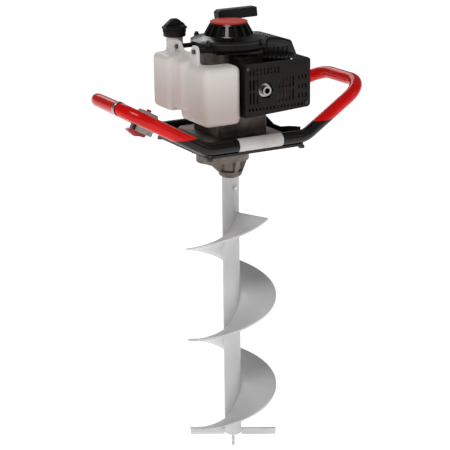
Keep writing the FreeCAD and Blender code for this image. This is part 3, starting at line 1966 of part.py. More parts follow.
def fuel_cap():
    """A skirted cap with a scalloped flange and a wedge-shaped grip across it, and its seal inside."""
    low = "neck_top - cap_skirt_height + 3"
    top = "neck_top + 3"
    bowl = turned(
        [
            ("neck_radius + 0.3", low),
            ("cap_radius - 1", low),
            ("cap_radius", low + " + 2"),
            ("cap_radius", top + " - cap_flange_height + 2"),
            ("cap_flange_radius", top + " - cap_flange_height + 4"),
            ("cap_flange_radius", top),
            ("cap_radius - 4", top + " + 4"),
            ("0", top + " + 5"),
            ("0", "neck_top + 2.2"),
            ("neck_radius + 0.3", "neck_top + 2.2"),
        ],
        "-neck_x",
        "neck_y",
    )
    grip = prism(
        "XZ_Plane",
        [
            ("-cap_radius + 1", top),
            ("cap_radius - 1", top),
            ("cap_radius - 2", top + " + 5"),
            ("6", top + " + cap_knob_height"),
            ("-6", top + " + cap_knob_height"),
            ("-cap_radius + 2", top + " + 5"),
        ],
        "cap_knob_thickness",
        "-cap_knob_thickness / 2",
    )
    stand(grip, "-neck_x", "neck_y")
    scallops = [
        cylinder(
            "3.5",
            "cap_flange_height + 2",
            "-neck_x + (cap_flange_radius + 1.6) * cos(%d)" % angle,
            "neck_y + (cap_flange_radius + 1.6) * sin(%d)" % angle,
            top + " - cap_flange_height + 1",
        )
        for angle in range(0, 360, 45)
    ]
    keep("fuel_cap", cut(fuse(bowl, grip), *scallops))
    seal = turned(
        [
            ("neck_bore - 4", "neck_top + 0.1"),
            ("neck_radius - 0.4", "neck_top + 0.1"),
            ("neck_radius - 0.4", "neck_top + 2"),
            ("neck_bore - 4", "neck_top + 2"),
        ],
        "-neck_x",
        "neck_y",
    )
    keep("cap_seal", group(seal))


def intake_side():
    """Insulator, carburettor, choke lever, primer bulb and air filter, in line behind the cylinder."""
    face = "bore_radius + fin_radius + 4 - bore_radius"
    first = "insulator_thickness"
    insulator = cut(
        box("34", first, "34", "intake_x - 17", face, "crank_height - 17"),
        cylinder("7", "40", "intake_x", face + " - 2", "crank_height", "y"),
    )
    keep("intake_insulator", insulator)
    start = "%s + %s" % (face, first)
    block = box("34", "carburettor_depth", "34", "intake_x - 17", start, "crank_height - 17")
    bowl = cylinder("13", "10", "intake_x", start + " + carburettor_depth / 2", "crank_height - 27")
    choke_boss = cylinder(
        "5",
        "5",
        "intake_x + 16",
        start + " + carburettor_depth - 8",
        "crank_height + 6",
        "x",
    )
    throat = cylinder("7", "60", "intake_x", start + " - 2", "crank_height", "y")
    keep("carburettor", cut(fuse(block, bowl, choke_boss), throat))
    primer_y = start + " + carburettor_depth / 2"
    bulb = turned(
        [
            ("0", "crank_height - 41"),
            ("5", "crank_height - 40"),
            ("8", "crank_height - 36"),
            ("9", "crank_height - 30"),
            ("9", "crank_height - 27.3"),
            ("0", "crank_height - 27.3"),
        ],
        "intake_x",
        primer_y,
    )
    keep("primer_bulb", group(bulb))
    lever_x = "intake_x + 21.3"
    lever = fuse(
        cylinder("5", "4", lever_x, start + " + carburettor_depth - 8", "crank_height + 6", "x"),
        box("4", "7", "26", lever_x, start + " + carburettor_depth - 11.5", "crank_height + 6"),
        box("10", "9", "5", lever_x, start + " + carburettor_depth - 12.5", "crank_height + 30"),
    )
    keep("choke_lever", lever)
    base_y = start + " + carburettor_depth"
    plate = new_body()
    corners = [
        ("intake_x - 46", "crank_height - 34"),
        ("intake_x + 16", "crank_height - 34"),
        ("intake_x + 16", "crank_height + 34"),
        ("intake_x - 46", "crank_height + 34"),
    ]
    pad(
        plate,
        polygon(sketch_on(plate, "XZ_Plane", "-(%s) - filter_base_thickness" % base_y), corners),
        "filter_base_thickness",
    )
    fillet(plate, "9", lambda slope, middle: abs(slope.y) > 0.99)
    keep("filter_base", cut(plate, cylinder("7", "30", "intake_x", base_y + " - 4", "crank_height", "y")))
    outer_y = base_y + " + filter_base_thickness"
    shell = new_body()
    pad(
        shell,
        polygon(sketch_on(shell, "XZ_Plane", "-(%s) - filter_cover_depth" % outer_y), corners),
        "filter_cover_depth",
    )
    fillet(shell, "9", lambda slope, middle: abs(slope.y) > 0.99)
    doc.recompute()
    back = value(outer_y + " + filter_cover_depth")
    fillet(shell, "5", lambda slope, middle: middle.y > back - 0.5)
    pocket_box = box(
        "56",
        "filter_cover_depth - 3",
        "62",
        "intake_x - 43",
        outer_y + " - 0.01",
        "crank_height - 31",
    )
    keep("filter_cover", cut(shell, pocket_box))
    foam = box(
        "54",
        "filter_cover_depth - 6",
        "60",
        "intake_x - 42",
        outer_y + " + 0.3",
        "crank_height - 30",
    )
    keep("filter_element", group(foam))


def leg_frame():
    """Place and turn of the hand controls: on the left rear leg, X up the leg, Z square to it and upward."""
    corners = frame_corners()
    low, high = corners[4], corners[3]
    low, high = Vec(-low.x, low.y, low.z), Vec(-high.x, high.y, high.z)
    along = (high - low).normalize()
    across = Vec(0, 0, 1).cross(along).normalize()
    up = along.cross(across)
    turn = FreeCAD.Rotation(along, across, up, "XYZ")
    return low + (high - low) * value("control_share"), turn


def hand_controls():
    """Clamp housing round the tube, the throttle trigger under it and the stop switch on it."""
    place, turn = leg_frame()
    half, length, tube = "control_half_width", "control_length", "tube_radius + fit_gap"
    profile = [
        ("-control_half_width", "-control_half_width - 8"),
        ("control_half_width", "-control_half_width - 8"),
        ("control_half_width", "control_top - 8"),
        ("control_half_width - 8", "control_top"),
        ("-control_half_width + 8", "control_top"),
        ("-control_half_width", "control_top - 8"),
    ]
    clamp = prism("YZ_Plane", profile, length)
    slot = box("control_length + 2", "12.6", "16", "-1", "-6.3", "-control_half_width - 9")
    pin_hole = cylinder("2", "50", "12", "-25", "-control_half_width - 4", "y")
    switch_well = box("16", "9", "8", "control_length - 24", "-4.5", "control_top - 3")
    housing = cut(
        clamp,
        cylinder(tube, "control_length + 2", "-1", "0", "0", "x"),
        slot,
        pin_hole,
        switch_well,
    )
    trigger_body = prism(
        "XZ_Plane",
        [
            ("6", "-control_half_width - 6"),
            ("16", "-control_half_width - 5"),
            ("control_length + trigger_reach - 46", "-control_half_width - 8"),
            ("control_length + trigger_reach - 40", "-control_half_width - 14"),
            ("control_length - 6", "-control_half_width - 20"),
            ("22", "-control_half_width - 16"),
            ("8", "-control_half_width - 14"),
        ],
        "11",
        "-5.5",
    )
    hub = cut(
        fuse(trigger_body, cylinder("5.5", "11", "12", "-5.5", "-control_half_width - 4", "y")),
        cylinder("2.05", "50", "12", "-25", "-control_half_width - 4", "y"),
    )
    pin = cylinder(
        "1.98",
        "2 * control_half_width - 1",
        "12",
        "-control_half_width + 0.5",
        "-control_half_width - 4",
        "y",
    )
    switch = box("7", "8.6", "8", "control_length - 23", "-4.3", "control_top - 2.7")
    for label, thing in (
        ("throttle_housing", housing),
        ("throttle_trigger", hub),
        ("trigger_pin", pin),
        ("stop_switch", switch),
    ):
        doc.recompute()
        shape = thing.Shape.copy()
        shape.Placement = FreeCAD.Placement(place, turn).multiply(shape.Placement)
        made(label, Part.makeCompound([shape]))


def bit():
    """Tube, helical flight, cutting blades, pilot, cross pin and its clip, all from the tip upward."""
    top = "frame_height - nose_depth - bit_gap"
    low = "blade_bottom"
    tube = cut(
        cylinder("bit_tube_radius", "%s - %s" % (top, low), "0", "0", low),
        cylinder("output_shaft_radius + running_gap", "70", "0", "0", "%s - 69" % top),
        cylinder("bit_bore", "%s - 75 - (%s + 14)" % (top, low), "0", "0", low + " + 14"),
        cylinder("pin_radius + fit_gap", "60", "0", "-30", "%s - pin_drop" % top, "y"),
    )
    keep("bit_tube", tube, raised=False)
    flight = new_body()
    section = polygon(
        sketch_on(flight, "XZ_Plane"),
        [
            ("bit_tube_radius + fit_gap", "flight_bottom"),
            ("bit_radius", "flight_bottom"),
            ("bit_radius", "flight_bottom + flight_thickness"),
            ("bit_tube_radius + fit_gap", "flight_bottom + flight_thickness"),
        ],
    )
    helix = flight.newObject("PartDesign::AdditiveHelix", "helix")
    helix.Profile = section
    helix.ReferenceAxis = (section, ["V_Axis"])
    helix.Mode = 0
    bind(helix, Pitch="flight_pitch", Height="flight_pitch * flight_turns")
    flight.Placement = FreeCAD.Placement(Vec(), FreeCAD.Rotation(Vec(0, 0, 1), 180 + value("bit_turn")))
    keep("bit_flight", flight, raised=False)
    blades = []
    for side in (0, 180):
        blade = prism(
            "YZ_Plane",
            [
                ("-blade_thickness / 2", "blade_bottom - 6"),
                ("blade_thickness / 2 - 2", "blade_bottom - 6"),
                ("blade_thickness / 2", "blade_bottom"),
                ("blade_thickness / 2", "blade_bottom - 6 + blade_height"),
                ("-blade_thickness / 2", "blade_bottom - 6 + blade_height"),
            ],
            "blade_reach - bit_tube_radius - 0.1",
            "bit_tube_radius + 0.1",
        )
        blade.Placement = FreeCAD.Placement(Vec(), FreeCAD.Rotation(Vec(0, 0, 1), side + value("bit_turn")))
        blades.append(blade)
    keep("cutting_blades", group(*blades), raised=False)
    pilot = cut(
        turned(
            [
                ("0", "0"),
                ("1", "0"),
                ("pilot_radius", "8"),
                ("pilot_radius - 1.5", "14"),
                ("pilot_radius", "22"),
                ("pilot_radius - 1.5", "28"),
                ("pilot_radius + 3", "blade_bottom"),
                ("0", "blade_bottom"),
            ]
        ),
        box("2", "20", "9", "pilot_radius - 2.5", "-10", "0"),
    )
    keep("pilot_point", pilot, raised=False)
    height = "%s - pin_drop" % top
    pin = fuse(
        cylinder("pin_radius", "2 * bit_tube_radius + 12", "0", "-bit_tube_radius - 5", height, "y"),
        cylinder("pin_radius + 3", "4", "0", "bit_tube_radius + 3", height, "y"),
    )
    clip_hole = cylinder("1.3", "20", "0", "-bit_tube_radius - 2.5", height + " - 10")
    keep("drive_pin", cut(pin, clip_hole), raised=False)
    clip = fuse(
        cylinder("1.2", "15", "0", "-bit_tube_radius - 2.5", height + " - 8"),
        cylinder("1", "2.3", "0", "-bit_tube_radius - 2.5", height + " - 6.5", "y"),
    )
    keep("pin_clip", clip, raised=False)


def engine_screws():
    """Screws of the shrouds, the tank's ears and the guard, each down or in to its seat."""
    screws = [
        hexagon_bolt(
            "2.4",
            "8",
            "4",
            "14",
            "(shroud_radius + 1) * cos(%d)" % angle,
            "(shroud_radius + 1) * sin(%d)" % angle,
            "shroud_split + 6.1",
        )
        for angle in SHROUD_SCREW_ANGLES
    ]
    screws += [
        side_screw(
            "tank_screw_radius",
            "5",
            "4",
            "ear_thickness + 10",
            "-ear_x - ear_thickness / 2 - 4",
            y,
            "ear_height - 12",
            "x",
        )
        for y in ear_places()
    ]
    corners = [
        ("guard_left + 5", "guard_top - guard_slope - 10"),
        ("guard_right - 10", "guard_bottom + guard_taper + 9"),
    ]
    screws += [side_screw("1.9", "4", "2", "7", x, "guard_front - 2.02", z, "y") for x, z in corners]
    keep("engine_screws", group(*screws))


handlebar_frame()
base_plate()
side_gussets()
frame_bolts()
gearbox_lower_housing()
gearbox_upper_housing()
gearbox_bolts()
gear_train()
gearbox_bearings()
output_seal()
output_shaft()
clutch()
crankcase()
crankshaft()
main_bearings()
connecting_rod()
piston()
engine_cylinder()
spark_plug()
flywheel()
ignition_coil()
fan_housing()
starter_housing()
starter_works()
starter_handle()
cylinder_cover()
muffler()
muffler_guard()
engine_screws()
fuel_tank()
fuel_cap()
intake_side()
hand_controls()
bit()

doc.recompute()
failed = [item.Label for item in doc.Objects if {"Invalid", "Error"} & set(item.State)]
assert not failed, "failed: %s" % failed
os.makedirs("parts", exist_ok=True)
for item in subparts:
    assert not item.Shape.isNull() and item.Shape.isValid(), item.Label
    item.Shape.exportStep("parts/%s.step" % item.Label)
    print("%-24s %d solids %10.0f mm3" % (item.Label, len(item.Shape.Solids), item.Shape.Volume))
print("%d sub-parts" % len(subparts))
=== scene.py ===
import json
import math

import bmesh
import bpy
from mathutils import Matrix, Vector


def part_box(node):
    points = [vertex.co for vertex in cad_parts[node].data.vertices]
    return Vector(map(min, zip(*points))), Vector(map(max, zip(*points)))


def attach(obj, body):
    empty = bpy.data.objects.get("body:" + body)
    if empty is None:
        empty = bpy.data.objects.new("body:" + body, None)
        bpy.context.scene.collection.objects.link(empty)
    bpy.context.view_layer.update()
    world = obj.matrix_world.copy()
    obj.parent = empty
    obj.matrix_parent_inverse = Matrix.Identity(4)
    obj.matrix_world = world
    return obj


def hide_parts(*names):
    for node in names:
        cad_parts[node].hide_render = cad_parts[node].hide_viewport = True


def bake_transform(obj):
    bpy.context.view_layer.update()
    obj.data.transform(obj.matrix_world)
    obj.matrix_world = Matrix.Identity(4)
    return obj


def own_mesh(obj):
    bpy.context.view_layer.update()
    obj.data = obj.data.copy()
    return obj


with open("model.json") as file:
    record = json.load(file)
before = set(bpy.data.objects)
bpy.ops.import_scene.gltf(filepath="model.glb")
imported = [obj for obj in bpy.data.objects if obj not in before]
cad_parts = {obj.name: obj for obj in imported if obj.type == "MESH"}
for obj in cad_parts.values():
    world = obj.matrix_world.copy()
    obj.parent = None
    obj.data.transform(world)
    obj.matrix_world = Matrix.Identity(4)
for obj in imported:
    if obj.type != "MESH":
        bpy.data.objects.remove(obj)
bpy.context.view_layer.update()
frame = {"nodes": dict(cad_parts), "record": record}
nodes = frame["nodes"]
HEIGHT = 0.747  # the frame tube's centre line above the pilot point, in metres
TUBE = 0.014  # the frame tube's radius
FRONT_Y = -0.115  # the front tube's centre line
CUT_RISE = 0.0285  # where the red paint starts above the centre line
CUT_SLOPE = 0.007


# Materials. Each one is a Principled shader whose colour, roughness and bump come from noise in
# object space.

class Finish:
    """A Principled material and the node helpers that feed it."""

    def __init__(self, name, **constants):
        self.material = bpy.data.materials.new(name)
        self.material.use_nodes = True
        self.tree = self.material.node_tree
        self.shader = self.tree.nodes["Principled BSDF"]
        self.place = self.tree.nodes.new("ShaderNodeTexCoord").outputs["Object"]
        for field, number in constants.items():
            self.shader.inputs[field.replace("_", " ")].default_value = number

    def node(self, kind, **fields):
        made = self.tree.nodes.new(kind)
        for field, setting in fields.items():
            setattr(made, field, setting)
        return made

    def plug(self, socket, source):
        if isinstance(source, bpy.types.NodeSocket):
            self.tree.links.new(source, socket)
        else:
            socket.default_value = source

    def stretched(self, x, y, z):
        scale = self.node("ShaderNodeVectorMath", operation="MULTIPLY")
        self.plug(scale.inputs[0], self.place)
        scale.inputs[1].default_value = (x, y, z)
        return scale.outputs[0]

    def noise(self, scale, detail=4.0, place=None):
        made = self.node("ShaderNodeTexNoise")
        self.plug(made.inputs["Vector"], place or self.place)
        made.inputs["Scale"].default_value = scale
        made.inputs["Detail"].default_value = detail
        return made.outputs["Fac"]

    def span(self, source, low, high, out_low=0.0, out_high=1.0):
        made = self.node("ShaderNodeMapRange")
        self.plug(made.inputs["Value"], source)
        ends = {"From Min": low, "From Max": high, "To Min": out_low, "To Max": out_high}
        for field, number in ends.items():
            made.inputs[field].default_value = number
        return made.outputs["Result"]

    def math(self, operation, a, b=0.0):
        made = self.node("ShaderNodeMath", operation=operation)
        self.plug(made.inputs[0], a)
        self.plug(made.inputs[1], b)
        return made.outputs[0]

    def mix(self, share, low, high):
        made = self.node("ShaderNodeMix", data_type="RGBA")
        self.plug(made.inputs["Factor"], share)
        for socket, source in ((made.inputs[6], low), (made.inputs[7], high)):
            if isinstance(source, tuple):
                source = tuple(source) + (1.0,)
            self.plug(socket, source)
        return made.outputs[2]

    def colour(self, source):
        self.plug(self.shader.inputs["Base Color"], source)

    def rough(self, source):
        self.plug(self.shader.inputs["Roughness"], source)

    def bump(self, source, strength, distance=0.001):
        made = self.node("ShaderNodeBump")
        made.inputs["Strength"].default_value = strength
        made.inputs["Distance"].default_value = distance
        self.plug(made.inputs["Height"], source)
        self.plug(self.shader.inputs["Normal"], made.outputs["Normal"])


def moulded(name, low, high, rough, grain=1400.0, strength=0.25, scuff=0.35, **constants):
    """Plastic or rubber: fine moulding grain, slow colour change and slightly polished patches."""
    finish = Finish(name, **constants)
    slow = finish.noise(14.0)
    finish.colour(finish.mix(finish.span(slow, 0.3, 0.7), low, high))
    patches = finish.noise(45.0, 6.0)
    finish.rough(finish.span(patches, 0.3, 0.75, rough - 0.12 * scuff, rough + 0.35 * scuff))
    finish.bump(finish.noise(grain, 2.0), strength, 0.0004)
    return finish.material


def cast(name, low, high, rough=0.48, **constants):
    """Sand-cast alloy: grainy skin, darker soot in patches and dull metal underneath."""
    finish = Finish(name, Metallic=0.75, **constants)
    blotch = finish.span(finish.noise(22.0, 6.0), 0.35, 0.68)
    finish.colour(finish.mix(blotch, low, high))
    grain = finish.noise(900.0, 5.0)
    finish.rough(finish.span(grain, 0.3, 0.7, rough - 0.1, rough + 0.14))
    finish.bump(grain, 0.55, 0.0006)
    return finish.material


def turned_steel(name, low, high, rough=0.24, along=(1.0, 1.0, 14.0), **constants):
    """Ground steel with fine lines round the drive axis and a faint oil film."""
    finish = Finish(name, Metallic=1.0, **constants)
    lines = finish.noise(240.0, 3.0, finish.stretched(*along))
    film = finish.span(finish.noise(30.0, 5.0), 0.35, 0.7)
    finish.colour(finish.mix(film, low, high))
    finish.rough(finish.span(lines, 0.3, 0.7, rough - 0.06, rough + 0.14))
    finish.bump(lines, 0.15, 0.0002)
    return finish.material


def tube_paint():
    """Gloss red above a sloping cut, black below it, with orange peel and small scuffs."""
    finish = Finish(
        "frame_paint_look", Specular_IOR_Level=0.20, Coat_Weight=0.14, Coat_Roughness=0.10
    )
    axes = finish.node("ShaderNodeSeparateXYZ")
    finish.plug(axes.inputs[0], finish.place)
    x, z = axes.outputs["X"], axes.outputs["Z"]
    cut_height = finish.math("MULTIPLY_ADD", x, CUT_SLOPE)
    cut_height.node.inputs[2].default_value = HEIGHT + CUT_RISE
    above = finish.span(finish.math("SUBTRACT", z, cut_height), -0.0004, 0.0004)
    slow = finish.span(finish.noise(16.0), 0.3, 0.7)
    red = finish.mix(slow, (0.56, 0.0016, 0.0012), (0.70, 0.0040, 0.0028))
    black = finish.mix(slow, (0.004, 0.0035, 0.003), (0.010, 0.009, 0.008))
    scuff = finish.span(finish.noise(170.0, 8.0), 0.70, 0.76, 0.0, 0.25)
    finish.colour(finish.mix(scuff, finish.mix(above, black, red), (0.16, 0.12, 0.11)))
    finish.rough(finish.span(finish.noise(60.0, 5.0), 0.3, 0.75, 0.16, 0.30))
    finish.bump(finish.noise(420.0, 2.0), 0.06, 0.0004)
    return finish.material


def sheet_paint():
    """Satin black paint on folded plate, worn and dusted to brown-grey in streaks."""
    finish = Finish("plate_paint_look", Specular_IOR_Level=0.35)
    slow = finish.span(finish.noise(20.0, 5.0), 0.3, 0.7)
    paint = finish.mix(slow, (0.007, 0.006, 0.0055), (0.022, 0.018, 0.016))
    upright = finish.stretched(1.0, 1.0, 5.0)
    streak = finish.span(finish.noise(60.0, 7.0, upright), 0.66, 0.74, 0.0, 0.4)
    finish.colour(finish.mix(streak, paint, (0.20, 0.17, 0.15)))
    finish.rough(finish.span(finish.noise(80.0, 6.0), 0.3, 0.7, 0.30, 0.48))
    finish.bump(finish.noise(520.0, 3.0), 0.14, 0.0004)
    return finish.material


def tank_skin():
    """Natural polyethylene: cloudy, softly translucent, and darker and warmer low down in painted
    shade.
    """
    finish = Finish(
        "tank_look",
        Specular_IOR_Level=0.35,
        Subsurface_Weight=0.55,
        Subsurface_Scale=0.012,
        IOR=1.5,
    )
    finish.shader.inputs["Subsurface Radius"].default_value = (1.0, 0.72, 0.58)
    axes = finish.node("ShaderNodeSeparateXYZ")
    finish.plug(axes.inputs[0], finish.place)
    # painted shade: the colour turns darker and warmer towards the bottom of the tank
    low = finish.span(axes.outputs["Z"], HEIGHT + 0.16, HEIGHT + 0.07)
    cloud = finish.span(finish.noise(9.0, 1.0), 0.3, 0.7)
    body = finish.mix(low, (0.72, 0.685, 0.655), (0.50, 0.42, 0.385))
    finish.colour(finish.mix(finish.math("MULTIPLY", cloud, 0.15), body, (0.80, 0.76, 0.73)))
    finish.rough(finish.span(finish.noise(12.0, 1.0), 0.3, 0.7, 0.38, 0.44))
    finish.bump(finish.noise(900.0, 2.0), 0.05, 0.0003)
    return finish.material


def heat_steel():
    """Pressed steel browned by heat, in darker and lighter brown patches, with a rusty bloom."""
    finish = Finish("muffler_look", Metallic=0.85)
    wide = finish.span(finish.noise(24.0, 5.0), 0.3, 0.7)
    tone = finish.mix(wide, (0.06, 0.038, 0.032), (0.17, 0.115, 0.095))
    rust = finish.span(finish.noise(130.0, 8.0), 0.58, 0.72, 0.0, 0.55)
    finish.colour(finish.mix(rust, tone, (0.22, 0.09, 0.05)))
    finish.rough(finish.span(finish.noise(90.0, 6.0), 0.3, 0.7, 0.30, 0.55))
    finish.bump(finish.noise(600.0, 4.0), 0.2, 0.0004)
    return finish.material


def bit_skin():
    """Pale grey powder coat with a fine speckle and slightly darker rubbed areas."""
    finish = Finish("bit_look", Specular_IOR_Level=0.45)
    slow = finish.span(finish.noise(9.0, 4.0), 0.3, 0.7)
    paint = finish.mix(slow, (0.60, 0.60, 0.60), (0.68, 0.68, 0.68))
    speck = finish.span(finish.noise(700.0, 3.0), 0.62, 0.72, 0.0, 0.12)
    finish.colour(finish.mix(speck, paint, (0.42, 0.42, 0.42)))
    finish.rough(finish.span(finish.noise(70.0, 5.0), 0.3, 0.7, 0.34, 0.50))
    finish.bump(finish.noise(800.0, 3.0), 0.10, 0.0003)
    return finish.material


def braid():
    """Twisted cord: two sets of slanted strands."""
    finish = Finish("rope_look", Roughness=0.8)
    wave = finish.node("ShaderNodeTexWave", wave_type="BANDS", bands_direction="DIAGONAL")
    finish.plug(wave.inputs["Vector"], finish.place)
    wave.inputs["Scale"].default_value = 260.0
    wave.inputs["Distortion"].default_value = 2.0
    finish.colour(finish.mix(wave.outputs["Fac"], (0.42, 0.42, 0.40), (0.78, 0.77, 0.73)))
    finish.bump(wave.outputs["Fac"], 0.5, 0.0005)
    return finish.material


def foam():
    finish = Finish("foam_look")
    cells = finish.node("ShaderNodeTexVoronoi")
    finish.plug(cells.inputs["Vector"], finish.place)
    cells.inputs["Scale"].default_value = 700.0
    finish.colour(finish.mix(cells.outputs["Distance"], (0.02, 0.02, 0.02), (0.10, 0.10, 0.10)))
    finish.rough(finish.span(finish.noise(60.0), 0.3, 0.7, 0.8, 0.95))
    finish.bump(cells.outputs["Distance"], 0.7, 0.001)
    return finish.material


LOOKS = {
    "frame_paint": tube_paint(),
    "plate_paint": sheet_paint(),
    "black_steel": turned_steel(
        "black_steel_look", (0.03, 0.028, 0.026), (0.09, 0.085, 0.08), 0.34
    ),
    "cast_alloy": cast("cast_alloy_look", (0.10, 0.080, 0.068), (0.25, 0.215, 0.188)),
    "machined_steel": turned_steel("machined_steel_look", (0.42, 0.41, 0.40), (0.62, 0.61, 0.60)),
    "gear_steel": turned_steel("gear_steel_look", (0.30, 0.29, 0.28), (0.50, 0.48, 0.46), 0.3),
    "black_plastic": moulded(
        "black_plastic_look", (0.0040, 0.0034, 0.0030), (0.0100, 0.0085, 0.0075), 0.40,
        Specular_IOR_Level=0.18,
    ),
    "gloss_black_plastic": moulded(
        "gloss_black_look", (0.0035, 0.0032, 0.0030), (0.0080, 0.0072, 0.0068), 0.22, 900.0, 0.12,
        Specular_IOR_Level=0.38,
    ),
    "grey_plastic": moulded(
        "grey_plastic_look", (0.30, 0.28, 0.27), (0.42, 0.40, 0.385), 0.45, 900.0, 0.15
    ),
    "red_plastic": moulded(
        "red_plastic_look", (0.56, 0.016, 0.010), (0.70, 0.030, 0.018), 0.5, 900.0, 0.12,
        Specular_IOR_Level=0.30,
    ),
    "tank_plastic": tank_skin(),
    "black_rubber": moulded(
        "black_rubber_look", (0.012, 0.012, 0.012), (0.03, 0.03, 0.03), 0.62, 500.0, 0.3
    ),
    "clear_rubber": moulded(
        "clear_rubber_look", (0.62, 0.34, 0.24), (0.75, 0.48, 0.36), 0.25, 500.0, 0.05,
        Transmission_Weight=0.45,
    ),
    "muffler_steel": heat_steel(),
    "bright_steel": turned_steel("bright_steel_look", (0.34, 0.33, 0.32), (0.55, 0.54, 0.52), 0.24),
    "bit_paint": bit_skin(),
    "rope_braid": braid(),
    "foam": foam(),
    "trigger_plastic": moulded(
        "trigger_look", (0.34, 0.02, 0.025), (0.48, 0.05, 0.05), 0.32, 700.0, 0.12
    ),
}

slot_of = {part["node"]: part["material_slot"] for part in frame["record"]["subparts"]}
for name, thing in nodes.items():
    for slot in thing.material_slots:
        slot.material = LOOKS[slot_of[name]]


def piece(name, mesh, body, slot, look=None, smooth=True):
    """A new object in one of the record's slots, which rides on a body if one is named."""
    thing = bpy.data.objects.new(name, mesh)
    bpy.context.scene.collection.objects.link(thing)
    mesh.materials.clear()
    mesh.materials.append(look or LOOKS[slot])
    for face in mesh.polygons:
        face.use_smooth = smooth
    if body:
        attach(thing, body)
    return thing


def mesh_of(name, build):
    """A mesh of what the build function puts into an empty bmesh."""
    work = bmesh.new()
    build(work)
    mesh = bpy.data.meshes.new(name)
    work.to_mesh(mesh)
    work.free()
    return mesh


def bridge(work, here, there):
    """Faces between two closed rows of as many corners."""
    for k in range(len(here)):
        n = (k + 1) % len(here)
        work.faces.new((here[k], here[n], there[n], there[k]))


def prism(work, rows):
    """A closed tube of faces over rows of corners, with both ends capped."""
    for here, there in zip(rows, rows[1:]):
        bridge(work, here, there)
    work.faces.new(list(reversed(rows[0])))
    work.faces.new(rows[-1])


# Camera, floor and light.

def stage():
    """The camera that was fitted to the photograph, a bright floor and three lamps."""
    camera = bpy.data.objects.new("camera", bpy.data.cameras.new("camera"))
    bpy.context.scene.collection.objects.link(camera)
    place = Vector((-1.50442, -2.71043, 1.48476))
    ahead = Vector((0.460576, 0.838028, -0.292538)).normalized()
    right = Vector((0.873091, -0.487446, -0.010432))
    right = (right - ahead * right.dot(ahead)).normalized()
    up = right.cross(ahead)
    turn = Matrix((right, up, -ahead)).transposed()
    camera.matrix_world = Matrix.Translation(place) @ turn.to_4x4()
    camera.data.lens = 117.36
    camera.data.sensor_width = 36
    camera.data.clip_end = 100
    bpy.context.scene.camera = camera

    def floor_mesh(work):
        bmesh.ops.create_grid(work, x_segments=8, y_segments=8, size=30)

    floor = bpy.data.objects.new("floor", mesh_of("floor", floor_mesh))
    bpy.context.scene.collection.objects.link(floor)
    paper = Finish("floor_look")
    paper.colour(paper.mix(paper.noise(3.0), (0.93, 0.93, 0.93), (0.95, 0.95, 0.95)))
    paper.shader.inputs["Emission Color"].default_value = (1.0, 1.0, 1.0, 1.0)
    paper.shader.inputs["Emission Strength"].default_value = 0.88
    paper.rough(paper.span(paper.noise(40.0), 0.3, 0.7, 0.85, 0.95))
    floor.data.materials.append(paper.material)

    world = bpy.data.worlds.new("studio")
    bpy.context.scene.world = world
    world.use_nodes = True
    tree = world.node_tree
    sky = tree.nodes["Background"]
    sky.inputs["Color"].default_value = (1.0, 1.0, 1.0, 1.0)
    path = tree.nodes.new("ShaderNodeLightPath")
    level = tree.nodes.new("ShaderNodeMapRange")
    level.inputs["To Min"].default_value = 0.16
    level.inputs["To Max"].default_value = 1.0
    tree.links.new(path.outputs["Is Camera Ray"], level.inputs["Value"])
    tree.links.new(level.outputs["Result"], sky.inputs["Strength"])

    def lamp(name, place, aim, size, power):
        light = bpy.data.lights.new(name, "AREA")
        light.shape = "RECTANGLE"
        light.size, light.size_y = size
        light.energy = power
        thing = bpy.data.objects.new(name, light)
        bpy.context.scene.collection.objects.link(thing)
        thing.location = place
        thing.rotation_euler = (Vector(aim) - Vector(place)).to_track_quat("-Z", "Y").to_euler()

    lamp("key", (-1.2, -1.4, 3.0), (0, 0, 0.75), (1.2, 0.8), 34)
    lamp("fill", (2.4, -2.2, 1.9), (0, 0, 0.7), (1.4, 1.4), 7)
    lamp("rim", (0.6, 2.6, 2.4), (0, 0, 0.8), (1.6, 1.0), 14)
    bpy.context.scene.view_settings.view_transform = "Standard"


stage()


# Moulded shells: a solid remeshed and relaxed, so that its faces flow into each other.

def relaxed(node, name, slot, voxel, factor, steps):
    """A copy of a node's mesh with soft edges, which stands for the node."""
    mesh = nodes[node].data.copy()
    mesh.name = name
    thing = piece(name, mesh, "powerhead", slot)
    remesh = thing.modifiers.new("remesh", "REMESH")
    remesh.mode = "VOXEL"
    remesh.voxel_size = voxel
    relax = thing.modifiers.new("relax", "SMOOTH")
    relax.factor = factor
    relax.iterations = steps
    graph = bpy.context.evaluated_depsgraph_get()
    soft = bpy.data.meshes.new_from_object(thing.evaluated_get(graph))
    thing.modifiers.clear()
    thing.data = soft
    soft.name = name
    soft.materials.clear()
    soft.materials.append(LOOKS[slot])
    for face in soft.polygons:
        face.use_smooth = True
    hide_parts(node)
    return thing


relaxed("fuel_tank", "tank_shell", "tank_plastic", voxel=0.0022, factor=0.5, steps=16)
relaxed(
    "cylinder_cover", "cover_shell", "gloss_black_plastic", voxel=0.0014, factor=0.5, steps=26
)


def ring_mesh(work, profile, steps, centre=(0.0, 0.0), axis="z"):
    """A closed profile of radius and height turned about an axis through the centre."""
    rows = []
    for i in range(steps):
        angle = math.tau * i / steps
        row = []
        for radius, height in profile:
            across = centre[0] + radius * math.cos(angle)
            other = centre[1] + radius * math.sin(angle)
            place = [across, other]
            place.insert("xyz".index(axis), height)
            row.append(work.verts.new(place))
        rows.append(row)
    for here, there in zip(rows, rows[1:] + rows[:1]):
        bridge(work, here, there)
    bmesh.ops.recalc_face_normals(work, faces=work.faces)


